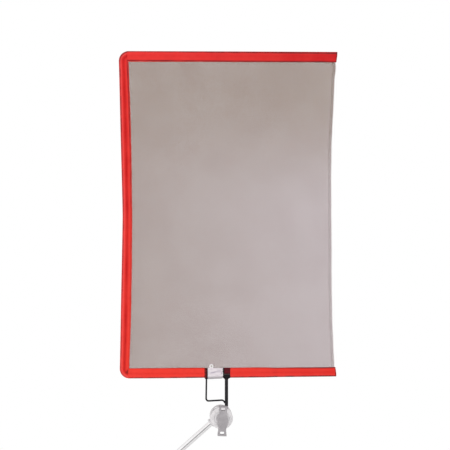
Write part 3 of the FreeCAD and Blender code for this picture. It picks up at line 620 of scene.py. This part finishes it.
def tuck(point):
    """The cloth folded under at the bottom corner: how dark, and how deep in mm."""
    across = (point.x - SEAM_X + FOLD_WIDE) / FOLD_WIDE
    if not 0 < across < 1.35:
        return 0.0, 0.0
    middle = FOLD_HIGH - FOLD_SKEW * (1 - across)
    inside = 1 - abs(point.z - middle) / (FOLD_TALL / 2 * min(1.0, across))
    inside = clamp(inside * 2.5)
    return FOLD_SHADE * inside, FOLD_DEEP * inside


def strip(
    name, line, width, seed, groove, edge_shade, hem_dark,
    hem_line=(0.0, 0.0), edge_shade_low=(-3.0, -3.0), edge_shade_high=(0.6, 0.6),
    loose=0.0, slant=0.0, spare=0.0, full=0.0, top=True,
):
    """A folded strip swept along one side of the frame, with cloth's unevenness.

    soil, hem_dark, hem_line, which is how far in from the hem's edge its dark line lies,
    edge_shade, how dark the painted shade line on the fold's outer edge is, hem_dark, how dark
    the painted shade line along the hem is, hem_line, which is how far in from the hem's edge
    that dark line lies, and edge_shade_low and edge_shade_high, the reach of the painted shade
    line on the fold, are (at the
    far its open end leans; spare is width that it has over its last stretch; full is how
    far its fold stands off the rod above and below the middle; top says that its seam
    end lies over the next strip.
    """
    outer, inner = line(0.0), line(width * MM)
    inward = [(b - a).normalized() for a, b in zip(outer, inner)]
    along = travelled(line(width / 2 * MM))
    total = along[-1]
    hem = width - NOSE
    rows = []
    marks = {key: [] for key in ("along", "across", "edge_shade", "shade", "valley", "light")}
    for w, y in binding_profile(width, groove):
        side = 1 if y > 0 else -1
        flap = clamp((w - FLAT_FROM) / 12.0)
        valley = hump(w, STITCH_AT, HOLLOW_REACH)
        row = []
        for s, p, into in zip(along, line(w * MM), inward):
            f = s / total
            puff = wander(s, seed, w * MM, 0.045, 0.7) + wander(s, seed + 5, 0, 0.11, 0.8)
            pucker = wander(s, seed + 9, w * MM * 0.5, 0.007, 0.35) * valley
            near, deep = (0.0, 0.0) if top else tuck(p)
            lift = 0.7 * soft_band(total - s, 0, 3 * MM, 3 * MM) * flap if top else 0.0
            ends = soft_band(min(s, total - s), 0, 6 * MM, 3 * MM)
            press = 0.0 if top else 0.18 * ends
            out = y * (1 + 0.08 * flap * puff) * (1 - press)
            out += side * (pucker + lift - deep + 0.22 * flap * puff)
            drift = wander(s, seed + 2, side, 0.10, 0.7) + wander(s, seed, side, 0.03, 0.35)
            sag = loose * math.sin(math.pi * f) ** 0.8 if loose else 0.0
            stand = full * abs(math.sin(2 * math.pi * f)) ** 1.2
            more = spare * soft_band(total - s, -1, 100 * MM, 20 * MM)
            shift = drift * flap + more * (flap - 0.35) - (sag + stand) * (1 - flap)
            point = Vector((p.x, PLANE_Y - out * MM, p.z)) + into * shift * MM
            lean = max(0.0, (w - 6.0) / (hem - 6.0)) * math.exp(-s / (5 * MM))
            point.x -= slant * lean * MM
            row.append(point)

            tip = 0.95 * hump(s / MM, 1.9, 1.1) if slant else 0.0
            step = between(hem_line, f)
            edge = soft_band(w, hem - 1.5 - step, hem + 1 - step * 1.6, 1.3)
            uneven = 0.88 + wander(s, seed + 3, side, 0.03, 0.4)
            dark = edge * between(hem_dark, f) * uneven
            # painted shade line along the fold's outer edge, its strength set per strip
            rim = soft_band(w, between(edge_shade_low, f), between(edge_shade_high, f), 1.0)
            # painted shade in the stitch groove, a little uneven
            groove_shade = groove * valley * (0.8 + wander(s, seed, 1, 0.06, 0.4))
            marks["along"].append(s / MM)
            marks["across"].append(w + 4.1)
            marks["edge_shade"].append(rim * between(edge_shade, f))
            marks["shade"].append(clamp(max(dark, tip, near)))
            marks["valley"].append(clamp(groove_shade * (1 - near)))
            marks["light"].append(groove * 0.75 * hump(w, 1.2, 2.2))
        rows.append(row)
    return grid_piece(name, rows, marks=marks), total


# a stitch from end to end: (how far along, how thick there), both as shares
STITCH_SHAPE = ((-1.0, 0.15), (-0.7, 0.8), (0.0, 1.0), (0.7, 0.8), (1.0, 0.15))
STITCH_SIDES = 6
STITCH_TRIM = 4


def stitches(name, line, inset, offset, step, length, thick):
    """A row of thread stitches on both faces of the fold, each a small rounded bar, in mm."""
    points = line(inset * MM)
    along = travelled(points)
    verts, faces = [], []
    s = STITCH_TRIM * MM
    index = 0
    while s < along[-1] - STITCH_TRIM * MM:
        while index < len(along) - 2 and along[index + 1] < s:
            index += 1
        f = (s - along[index]) / max(1e-9, along[index + 1] - along[index])
        at = points[index].lerp(points[index + 1], clamp(f))
        way = (points[index + 1] - points[index]).normalized()
        across = Vector((way.z, 0, -way.x))
        for side in (1, -1):
            first = len(verts)
            centre = Vector((at.x, PLANE_Y - side * offset * MM, at.z))
            for t, r in STITCH_SHAPE:
                for k in range(STITCH_SIDES):
                    a = 2 * math.pi * k / STITCH_SIDES
                    verts.append(
                        centre
                        + way * t * length / 2 * MM
                        + across * math.cos(a) * r * thick * MM
                        + Vector((0, math.sin(a), 0)) * r * thick * 0.8 * MM
                    )
            faces += grid_faces(len(STITCH_SHAPE), STITCH_SIDES, True, first)
            last = len(verts) - STITCH_SIDES
            faces.append(tuple(first + k for k in reversed(range(STITCH_SIDES))))
            faces.append(tuple(last + k for k in range(STITCH_SIDES)))
        s += step * MM
    return mesh_piece(name, verts, faces)


# --- net
NET_INSET = 12.0 * MM
NET_ROWS = 90
NET_COLUMNS = 60
HEM_STEPS = 360
HEM_STITCH_STEPS = 320


def net_sheet(name, offset):
    """One layer of net, from inside the binding to its drawn-in open edge."""
    rows = []
    heights = net_heights(NET_INSET, NET_ROWS)
    low, top = heights[0], heights[-1]
    for z in heights:
        x0, x1 = on_side(NET_INSET, z).x, free_edge(z) - 2 * MM
        up = (z - low) / (top - low)
        row = []
        for f in spread(0.0, 1.0, NET_COLUMNS):
            x = x0 + (x1 - x0) * f
            roof = on_reach(NET_INSET, x).z
            floor = 2 * MIDDLE - roof
            ripple = wander(x * 0.35, 1.0, z, 0.05, 0.5) * max(0.0, (f - 0.85) / 0.15)
            slack = math.sin(math.pi * f) * math.sin(math.pi * up)
            y = PLANE_Y + (offset + ripple + slack * wander(x, 2.0, z, 0.2, 0.4)) * MM
            row.append(Vector((x, y, floor + (roof - floor) * up)))
        rows.append(row)
    return grid_piece(name, rows)


def net_hem():
    """The tape folded over the net's open edge."""
    face = [(HEM_MM - 0.4, 0.8), (HEM_MM + 0.1, 1.05), (HEM_MM - 0.4, 1.3)]
    face += [(6.5, 1.45), (3.0, 1.35), (1.2, 1.5), (0.2, 0.9)]
    profile = face + [(-0.1, 0.0)] + [(w, -y) for w, y in reversed(face)]
    inset = (BINDING_WIDTH - SLEEVE_R) + 0.4 * MM
    heights = net_heights(inset, HEM_STEPS)
    rows, marks = [], {"along": [], "across": [], "shade": []}
    for w, y in profile:
        row = []
        for z in heights:
            ripple = wander(0, 7.0, z, 0.03, 0.8)
            x = free_edge(z) - w * MM
            knot = hump((heights[-1] - z) / MM, 3.4, 1.7)
            marks["shade"].append(knot * clamp((w - 6) / 3))
            roof = on_reach(inset, x).z
            z = max(min(z, roof), 2 * MIDDLE - roof)
            row.append(Vector((x, PLANE_Y - (y * 0.8 + ripple * 0.6) * MM, z)))
            marks["along"].append(z / MM)
            marks["across"].append(w)
        rows.append(row)
    return grid_piece("net_hem_tape", rows, marks=marks)


def line_net_edge(inset):
    keep = (BINDING_WIDTH - SLEEVE_R) + 2 * MM
    return [Vector((free_edge(z) - inset, 0, z)) for z in net_heights(keep, HEM_STITCH_STEPS)]


# --- tapes and welds
def wrap_profile():
    """(inset, front offset) in mm round a turn of tape over the rail and its binding."""
    front = [(20.4, 0.9), (23.6, 1.0), (24.1, 1.6), (23.6, 2.2), (21.0, 2.8), (18.0, 3.3)]
    front += [(15.0, 3.35), (12.0, 3.1), (9.0, 2.9), (6.5, 3.2), (4.0, 3.8), (2.0, 4.3)]
    turn = [math.radians(a) for a in range(80, -81, -20)]
    nose = [(0.2 - 4.75 * math.cos(a), 4.6 * math.sin(a)) for a in turn]
    coarse = front + nose + [(w, -y) for w, y in reversed(front)]
    fine = []
    for (w0, y0), (w1, y1) in zip(coarse, coarse[1:]):
        fine += [(w0 + (w1 - w0) * i / 3, y0 + (y1 - y0) * i / 3) for i in range(3)]
    return fine + [coarse[-1]]


def tape_band(name, span, seed, hang):
    """One turn of tape folded over the rail, its edges a little proud and uneven."""
    columns = max(16, int((span[1] - span[0]) / (0.4 * MM)))
    rows, marks = [], {"along": [], "across": []}
    for w, y in wrap_profile():
        side = 1 if y > 0 else -1
        row = []
        for i, x in enumerate(spread(span[0], span[1], columns)):
            at_edge = i in (0, columns - 1)
            lift = -0.45 if at_edge else 0.0
            fray = wander(w * MM, seed, x, 0.0015, 0.5) if at_edge else 0.0
            rough = wander(x, seed, w * MM, 0.004, 0.45) + wander(x, seed, w * MM, 0.009, 0.5)
            low = hang * max(0.0, 1 - w / 9) * math.sin(math.pi * i / (columns - 1)) ** 0.4
            p = flipped(on_reach((w - low) * MM, x))
            out = y + side * (rough + lift)
            row.append(Vector((x + fray * MM, PLANE_Y - out * MM, p.z)))
            marks["along"].append((x - span[0]) / MM)
            marks["across"].append(w + 4.7)
        rows.append(row)
    return grid_piece(name, rows, marks=marks)


COLLAR_ROWS = 16
COLLAR_AROUND = 36


def tape_collar(name, x, radius, low, high):
    """Tape wound down over a bar's top, in a few overlapping turns."""
    rows, marks = [], {"along": [], "across": []}
    for i in range(COLLAR_ROWS + 1):
        f = i / COLLAR_ROWS
        z = BASE + (low + (high - low) * f) * MM
        swell = 0.9 + 1.1 * math.sin(math.pi * min(1, f * 1.25)) ** 0.6
        ridge = 0.25 * abs(math.sin(f * math.pi * 3))
        row = []
        for k in range(COLLAR_AROUND):
            a = 2 * math.pi * k / COLLAR_AROUND
            bump = wander(math.cos(a) * 0.01, math.sin(a) * 0.01, z, 0.003, 0.3)
            r = radius + (swell + ridge + bump) * MM
            row.append(Vector((x + r * math.cos(a), PLANE_Y + r * math.sin(a), z)))
            marks["along"].append(a * radius / MM)
            marks["across"].append(3.0)
        rows.append(row)
    return grid_piece(name, rows, closed=True, marks=marks)


WELD_AROUND = 72
WELD_SECTION = 14


def weld_ring(centre, axis, radius, size, scales):
    """A ring of weld laid round a bar, in overlapping ripples."""
    axis = axis.normalized()
    side = axis.orthogonal().normalized()
    other = axis.cross(side)
    rows = []
    for i in range(WELD_AROUND):
        a = 2 * math.pi * i / WELD_AROUND
        out = side * math.cos(a) + other * math.sin(a)
        ripple = 0.80 + 0.20 * abs(math.sin(a * scales / 2))
        ripple += wander(out.x, out.y, out.z, 0.7, 0.12)
        r = size * ripple
        row = []
        for k in range(WELD_SECTION):
            b = 2 * math.pi * k / WELD_SECTION
            row.append(centre + out * (radius + r * math.cos(b)) + axis * r * math.sin(b))
        rows.append(row)
    rows.append(rows[0])
    return rows


def weld_pieces():
    """Rings of weld at the pin's top, the brace's top and the brace's foot."""
    up = Vector((0, 0, 1))
    rod_z = BASE + SLEEVE_R
    pin_top = Vector((PIN_X, PLANE_Y, rod_z - 3.4 * MM))
    brace_top = Vector((BRACE_X, PLANE_Y, rod_z - 3.2 * MM))
    foot_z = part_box("weld_beads")[0].z + 3.3 * MM
    foot = Vector((PIN_X - PIN_R + 0.4 * MM, PLANE_Y, foot_z))
    rings = (
        weld_ring(pin_top, up, PIN_R, size=1.2 * MM, scales=14),
        weld_ring(brace_top, up, 2.3 * MM, size=0.7 * MM, scales=9),
        weld_ring(foot, Vector((1, 0, -0.9)), 2.0 * MM, size=1.5 * MM, scales=8),
    )
    verts, faces = [], []
    for rows in rings:
        faces += grid_faces(len(rows), WELD_SECTION, True, len(verts))
        verts += [p for row in rows for p in row]
    return mesh_piece("weld_ripples", verts, faces)


# --- label
# the label's section, (height, front offset) in mm from its top edge down to the fold
LABEL_SECTION = (
    (28.6, 1.9), (26, 3.1), (20, 4.3), (13, 4.7), (7, 5.3), (3.2, 5.4), (0.4, 4.6),
    (-1.9, 2.7), (-3.1, 0),
)
LABEL_COLUMNS = 100
# soft creases: (across, up) from the label's lower left in mm, reach each way, tilt, depth
CREASES = (
    ((16.5, 16.0), (10.0, 1.9), 0.20, 0.95),
    ((32.5, 19.5), (6.5, 5.0), 0.0, 0.50),
    ((40.2, 14.0), (2.2, 3.2), 0.3, 0.90),
    ((30.0, 8.0), (9.0, 1.5), 0.12, 0.35),
    ((8.0, 24.0), (6.0, 1.2), -0.1, 0.30),
    ((1.0, 15.0), (1.6, 12.0), 0.0, 0.35),
)
TAB_INNER = 2.3 * MM
TAB_OUTER = 5.7 * MM
TAB_STEM = 7.5 * MM
TAB_RINGS = 5
TAB_AROUND = 40


def crease_at(across, up):
    """How deep in a crease a place on the label is, 0 to 1."""
    depth = 0.0
    for (u, v), (wide, tall), tilt, amount in CREASES:
        du, dv = across - u, up - v - tilt * (across - u)
        depth += amount * math.exp(-((du / wide) ** 4) - (dv / tall) ** 2)
    return min(1.0, depth)


def label_path():
    """The label's section from the front edge down round the rail, evenly smoothed."""
    line = [Vector((0, -y * MM, BASE + z * MM)) for z, y in LABEL_SECTION]
    line += [Vector((0, -p.y, p.z)) for p in reversed(line[:-1])]
    fine = []
    for a, b in zip(line, line[1:]):
        fine += [a.lerp(b, i / 6) for i in range(6)]
    fine.append(line[-1])
    for _ in range(3):
        middle = [(a + b * 2 + c) / 4 for a, b, c in zip(fine, fine[1:], fine[2:])]
        fine = [fine[0]] + middle + [fine[-1]]
    return fine


def label_sheet():
    """The label: one strip folded round the rail, creased, with a ragged right edge."""
    fine = label_path()
    along = travelled(fine)
    x0, x1 = LABEL_LOW.x, LABEL_HIGH.x
    rows, marks = [], {"along": [], "across": [], "shade": []}
    for p, s in zip(fine, along):
        height = (p.z - BASE) / MM
        front = 1 if p.y <= 0 else -1
        normal = Vector((0, -front, 0)) if abs(p.y) > 1 * MM else Vector((0, 0, -1))
        loose = clamp((height + 3) / 6)
        row = []
        for f in spread(0.0, 1.0, LABEL_COLUMNS):
            x = x0 + (x1 - x0) * f
            fold = crease_at(f * (x1 - x0) / MM, height)
            crumple = wander(x, s * 0.8, front, 0.008, 0.5)
            crumple += wander(x * 1.2, s * 1.1, front + 4, 0.017, 0.7)
            out = (crumple * loose - 0.9 * fold * loose) * MM
            point = Vector((x, PLANE_Y + p.y, p.z)) + normal * out
            point.z += (f - 0.5) * 1.6 * MM * max(0.0, 1 - height / 12)
            point.z -= 0.9 * MM * f * max(0.0, (height - 20) / 8)
            if f > 0.9 and 2 < height < 26:
                tooth = 0.5 + 0.5 * math.cos((height - 2) * 2 * math.pi / 8.0)
                point.x -= ((f - 0.9) / 0.1) ** 2 * tooth * 2.2 * MM
            corner = max(0.0, 1 - (height + 3) / 4) * max(0.0, abs(f - 0.5) - 0.42) / 0.08
            point.x -= math.copysign(corner * 1.6 * MM, f - 0.5)
            row.append(point)
            marks["along"].append(x / MM)
            marks["across"].append(height + 3.5)
            marks["shade"].append(fold * (1.0 if front > 0 else 0.4))
        rows.append(row)
    return grid_piece("label_fold", rows, marks=marks), along[-1]


def label_tab():
    """The label's tab, a loop of the same cloth round the eyelet."""
    low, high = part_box("label_eyelet")
    cx, cz = (low.x + high.x) / 2, (low.z + high.z) / 2
    verts, faces, marks = [], [], {"along": [], "across": []}
    for side in (-1, 1):
        quads = grid_faces(TAB_RINGS, TAB_AROUND, True, len(verts))
        faces += quads if side > 0 else [quad[::-1] for quad in quads]
        for i in range(TAB_RINGS):
            out = i / (TAB_RINGS - 1)
            r = TAB_INNER + (TAB_OUTER - TAB_INNER) * out
            for k in range(TAB_AROUND):
                a = 2 * math.pi * k / TAB_AROUND
                x, z = cx + r * math.cos(a), cz + r * math.sin(a)
                if math.sin(a) < -0.3 and i:
                    z = cz - TAB_STEM * out * min(1, -math.sin(a) * 1.6)
                curl = wander(x, 3, z, 0.006, 0.5)
                y = PLANE_Y + (-1.05 + side * 0.22 + curl * 0.3) * MM
                verts.append(Vector((x, y, z)))
                marks["along"].append(x / MM)
                marks["across"].append(30.0)
    back = TAB_RINGS * TAB_AROUND
    for i in (0, TAB_RINGS - 1):
        for k in range(TAB_AROUND):
            a, b = i * TAB_AROUND + k, i * TAB_AROUND + (k + 1) % TAB_AROUND
            quad = (a, b, b + back, a + back)
            faces.append(quad if i == 0 else quad[::-1])
    return mesh_piece("label_tab", verts, faces, marks)


# --- putting it together
# on the bottom strips the painted shade line lies on the outside of the fold
EDGE_SHADE_OUTSIDE = dict(edge_shade_low=(-3.7, -3.7), edge_shade_high=(-1.0, -1.0))
STRIPS = {
    "binding_top": dict(
        line=line_top,
        width=29.4,
        seed=1,
        groove=0.12,
        edge_shade=(1.0, 0.6),
        hem_dark=(0.95, 0.85),
        hem_line=(0.6, 2.3),
        edge_shade_low=(-0.4, -4.0),
        edge_shade_high=(1.2, -2.0),
        slant=2.6,
    ),
    "binding_left": dict(
        line=line_left,
        width=26.5,
        seed=2,
        groove=0.95,
        edge_shade=(0.6, 0.35),
        hem_dark=(1.0, 0.15),
        hem_line=(2.3, 2.0),
        full=2.3,
        top=False,
    ),
    "binding_bottom_left": dict(
        line=line_bottom_left,
        width=28.6,
        seed=3,
        groove=0.15,
        edge_shade=(0.7, 0.95),
        hem_dark=(0.05, 0.4),
        loose=0.3,
        **EDGE_SHADE_OUTSIDE,
    ),
    "binding_bottom_right": dict(
        line=line_bottom_right,
        width=26.8,
        seed=4,
        groove=0.2,
        edge_shade=(1.0, 0.95),
        hem_dark=(1.0, 0.2),
        slant=2.6,
        spare=1.6,
        **EDGE_SHADE_OUTSIDE,
    ),
}
NET_LAYERS = (
    ("net_front_layer", -0.28, "net_front", 8.0, "net_cloth"),
    ("net_back_layer", 0.28, "net_back", 38.0, "net_cloth_back"),
)
TAPE_UNDER = 2.5 * MM


def dress(piece, material, body=None):
    """Give a piece its material and, if it isn't a CAD piece, its body and slot."""
    if piece.data.materials:
        for place in piece.material_slots:
            place.material = material
    else:
        piece.data.materials.append(material)
    if body:
        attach(piece, body)
    return piece


def add_bindings():
    red = binding_look()
    red_thread = thread_look("red_thread", (0.66, 0.014, 0.018))
    for node, shape in STRIPS.items():
        piece, length = strip(node + "_cloth", **shape)
        dress(piece, red, "scrim")
        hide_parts(node)
        sewing = stitches(
            node + "_stitches",
            shape["line"],
            STITCH_AT,
            offset=STITCH_OFFSET - shape["groove"] * GROOVE_DEEP,
            step=3.4,
            length=2.5,
            thick=0.26,
        )
        dress(sewing, red_thread, "scrim")


def add_net():
    hem = dress(net_hem(), hem_look(), "scrim")
    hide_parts("net_edge_hem")
    sewing = stitches(
        "net_hem_stitches", line_net_edge, 7.4, offset=1.25, step=3.6, length=2.6, thick=0.28
    )
    dress(sewing, thread_look("grey_thread", (0.60, 0.54, 0.54)), "scrim")
    for node, offset, look_name, turn, slot in NET_LAYERS:
        layer = net_sheet(node.replace("_layer", "_cloth"), offset)
        dress(layer, net_look(look_name, turn), "scrim")
        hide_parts(node)


def add_tapes():
    # the plain tape's thin part lies beyond its end
    plain = tape_look("black_cloth_tape", 90, 91, 0, (0.1, 0.01, 0.02), 2.0)
    left = tape_look("black_cloth_tape_left", -2.0, 5.2, 1.0, (0.20, 0.014, 0.012), 9.0)
    right = tape_look("black_cloth_tape_right", 3.8, 19.0, 13.5, (0.150, 0.006, 0.014), 5.4)
    under_label = (WRAP_LEFT[0], LABEL_LOW.x + TAPE_UNDER)
    for node, span, seed, look, hang in (
        ("end_wrap_left", under_label, 5.0, left, 0.0),
        ("end_wrap_right", WRAP_RIGHT, 6.0, right, 1.2),
    ):
        band = dress(tape_band(node + "_tape", span, seed, hang), look, "scrim")
        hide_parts(node)
    for name, x, radius, low, high, flat, bar in (
        ("pin_collar_tape", PIN_X, PIN_R, -3.6, 9.0, (0.042, 0.013), "mounting_pin"),
        ("brace_collar_tape", BRACE_X, FRAME_R, -3.4, 2.5, (0.024, 0.010), "brace_rod"),
    ):
        collar = tape_collar(name, x, radius, low, high)
        dress(collar, plain, "scrim")


def add_label():
    cloth = label_look("white_label_cloth", (0.77, 0.725, 0.765), (0.66, 0.61, 0.66))
    # painted light: the tab's cloth is a paler copy of the label's cloth, which makes the tab look
    # more brightly lit
    tab_lit_copy = label_look("white_tab_cloth_lit_copy", (0.93, 0.91, 0.93), (0.84, 0.81, 0.84))
    label, length = label_sheet()
    dress(label, cloth, "scrim")
    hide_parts("label_wrap")
    tab = dress(label_tab(), tab_lit_copy, "scrim")


def dress_metal():
    """Looks for the welds and for the pieces that stay as the CAD has them."""
    paint = painted_look()
    welds = dress(weld_pieces(), paint, "scrim")
    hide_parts("weld_beads")
    bright = metal_look("bright_plated_arm", (0.93, 0.93, 0.945), 0.09, tone=0.02)
    jaws = cast_look("satin_cast_jaws", (0.80, 0.79, 0.81), metallic=0.15, tone=0.03)
    rear = cast_look("satin_cast_rear", (0.76, 0.75, 0.77), metallic=0.15, tone=0.03)
    handle = cast_look("satin_die_cast_handle", (0.435, 0.42, 0.44), metallic=0.6, tone=0.04)
    plated = metal_look("zinc_plate", (0.62, 0.61, 0.58), 0.32, tone=0.1)
    spring = metal_look("spring_wire", (0.30, 0.30, 0.31), 0.30, tone=0.1)
    nickel = metal_look("nickel_eyelet", (0.88, 0.87, 0.85), 0.38, tone=0.05)
    steel = metal_look("drawn_steel_rod", (0.45, 0.45, 0.46), 0.30, tone=0.12)
    vinyl = thread_look("vinyl_cap_black", (0.03, 0.03, 0.032))
    lining = thread_look("fibre_lining", (0.16, 0.12, 0.08))
    for look, nodes in (
        (bright, ("arm_rod",)),
        (jaws, ("outer_jaw", "inner_jaw")),
        (rear, ("arm_body",)),
        (handle, ("t_handle",)),
        (plated, ("handle_pin", "clamp_nut", "clamp_screw", "thrust_washer")),
        (plated, ("alignment_dowel", "arm_roll_pin")),
        (spring, ("jaw_spring", "screw_stop_ring")),
        (lining, ("friction_disc",)),
        (paint, ("mounting_pin", "brace_rod")),
        (steel, ("frame_rod",)),
        (vinyl, ("rod_tip_caps",)),
        (nickel, ("label_eyelet",)),
    ):
        for node in nodes:
            dress(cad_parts[node], look)


# --- room, light and camera
# direction in the room, where its patch starts and is full (cosines), added strength
ROOM = (
    ((0.0, -1.0, 0.0), 0.87, 0.96, -0.64),
    ((0.0, 1.0, 0.0), 0.85, 0.96, -0.60),
    ((1.0, 0.0, 0.0), 0.85, 0.96, -0.55),
    ((-1.0, 0.0, 0.0), 0.88, 0.97, -0.55),
    ((-0.15, -0.49, 0.86), 0.90, 0.97, -0.55),
    ((-0.17, 0.68, 0.71), 0.90, 0.97, -0.55),
    ((0.35, 0.1, 0.95), 0.0, 1.0, -0.14),
    ((-0.8, -0.5, -0.3), 0.0, 1.0, 0.12),
)
ROOM_STRENGTH = 0.97
ROOM_COLOUR = (1.0, 0.985, 0.975)
WHITE = (1, 1, 1)

# two wide lamps in front of the part, one on each side: across, ahead, above the middle
KEYS = (("key_left", (-2.2, -2.6, -0.5)), ("key_right", (2.2, -2.6, 0.3)))
KEY_SIZE = 1.6
KEY_POWER = 23
KEY_COLOUR = (1, 0.97, 0.95)

FLOOR_CENTRE = Vector((0.30, 0.0, -0.80))
FLOOR_R = 3.0
FLOOR_RINGS = 24
FLOOR_AROUND = 96

VIEW_TURN = math.radians(-3.4)
VIEW_RISE = math.radians(3.06)
VIEW_DISTANCE = 5.0
VIEW_LEFT = 9.4 * MM
VIEW_DOWN = 27.2 * MM
LENS = 142.95
SENSOR = 36


def make_room():
    """White all round for the eye; for light, a soft room with darker patches.

    The patches are ahead, behind, at both sides and above, so that bright metal shows
    its shape from any side.
    """
    world = bpy.data.worlds.new("pale_room")
    bpy.context.scene.world = world
    world.use_nodes = True
    tree = world.node_tree
    tree.nodes.clear()
    out = tree.nodes.new("ShaderNodeOutputWorld")
    mix = tree.nodes.new("ShaderNodeMixShader")
    seen = tree.nodes.new("ShaderNodeBackground")
    lit = tree.nodes.new("ShaderNodeBackground")
    path = tree.nodes.new("ShaderNodeLightPath")
    way = tree.nodes.new("ShaderNodeTexCoord")
    feed(tree, seen.inputs["Color"], WHITE)
    total = ROOM_STRENGTH
    for direction, low, high, amount in ROOM:
        dot = tree.nodes.new("ShaderNodeVectorMath")
        dot.operation = "DOT_PRODUCT"
        feed(tree, dot.inputs[0], way.outputs["Generated"])
        feed(tree, dot.inputs[1], Vector(direction).normalized())
        patch = tree.nodes.new("ShaderNodeMapRange")
        patch.interpolation_type = "SMOOTHSTEP"
        for index, value in enumerate((dot.outputs["Value"], low, high, 0.0, amount)):
            feed(tree, patch.inputs[index], value)
        add = tree.nodes.new("ShaderNodeMath")
        feed(tree, add.inputs[0], patch.outputs[0])
        feed(tree, add.inputs[1], total)
        total = add.outputs[0]
    feed(tree, lit.inputs["Strength"], total)
    feed(tree, lit.inputs["Color"], ROOM_COLOUR)
    feed(tree, mix.inputs[0], path.outputs["Is Camera Ray"])
    feed(tree, mix.inputs[1], lit.outputs[0])
    feed(tree, mix.inputs[2], seen.outputs[0])
    feed(tree, out.inputs[0], mix.outputs[0])


def make_floor():
    """A pale round floor, lower than the scrim reaches when the head is turned over."""
    rows = []
    for r in spread(0.0, FLOOR_R, FLOOR_RINGS):
        angles = [2 * math.pi * k / FLOOR_AROUND for k in range(FLOOR_AROUND)]
        ring = [Vector((math.cos(a), math.sin(a), 0)) * (r + 0.1 * MM) for a in angles]
        rows.append([FLOOR_CENTRE + point for point in ring])
    floor = grid_piece("pale_floor", rows, closed=True)
    look = Look("pale_floor", (0.88, 0.88, 0.88), 0.8)
    mottle = look.span(look.grain(3, 4), 0.3, 0.7)
    look.set("Base Color", look.blend(mottle, (0.86, 0.86, 0.865), (0.89, 0.89, 0.89)))
    look.bump(look.grain(150, 4), 0.1, 0.001)
    floor.data.materials.append(look.material)


def make_camera():
    """A long lens, a little to the left of straight on and a little above it."""
    aim = Vector(((LEFT + RIGHT) / 2 - VIEW_LEFT, PLANE_Y, MIDDLE - VIEW_DOWN))
    level = math.cos(VIEW_RISE)
    back = Vector((math.sin(VIEW_TURN) * level, -math.cos(VIEW_TURN) * level, math.sin(VIEW_RISE)))
    data = bpy.data.cameras.new("camera")
    data.lens, data.sensor_width = LENS, SENSOR
    camera = bpy.data.objects.new("camera", data)
    camera.location = aim + back * VIEW_DISTANCE
    camera.rotation_euler = (-back).to_track_quat("-Z", "Y").to_euler()
    bpy.context.scene.collection.objects.link(camera)
    bpy.context.scene.camera = camera


def make_lamps():
    aim = Vector((PIN_X, PLANE_Y, MIDDLE))
    for name, (across, ahead, above) in KEYS:
        data = bpy.data.lights.new(name, "AREA")
        data.shape, data.size = "DISK", KEY_SIZE
        data.energy, data.color = KEY_POWER, KEY_COLOUR
        lamp = bpy.data.objects.new(name, data)
        lamp.location = Vector((PIN_X + across, ahead, MIDDLE + above))
        lamp.rotation_euler = (aim - lamp.location).to_track_quat("-Z", "Y").to_euler()
        bpy.context.scene.collection.objects.link(lamp)


add_bindings()
add_net()
add_tapes()
add_label()
dress_metal()
make_room()
make_floor()
make_camera()
make_lamps()
bpy.context.scene.view_settings.view_transform = "Standard"
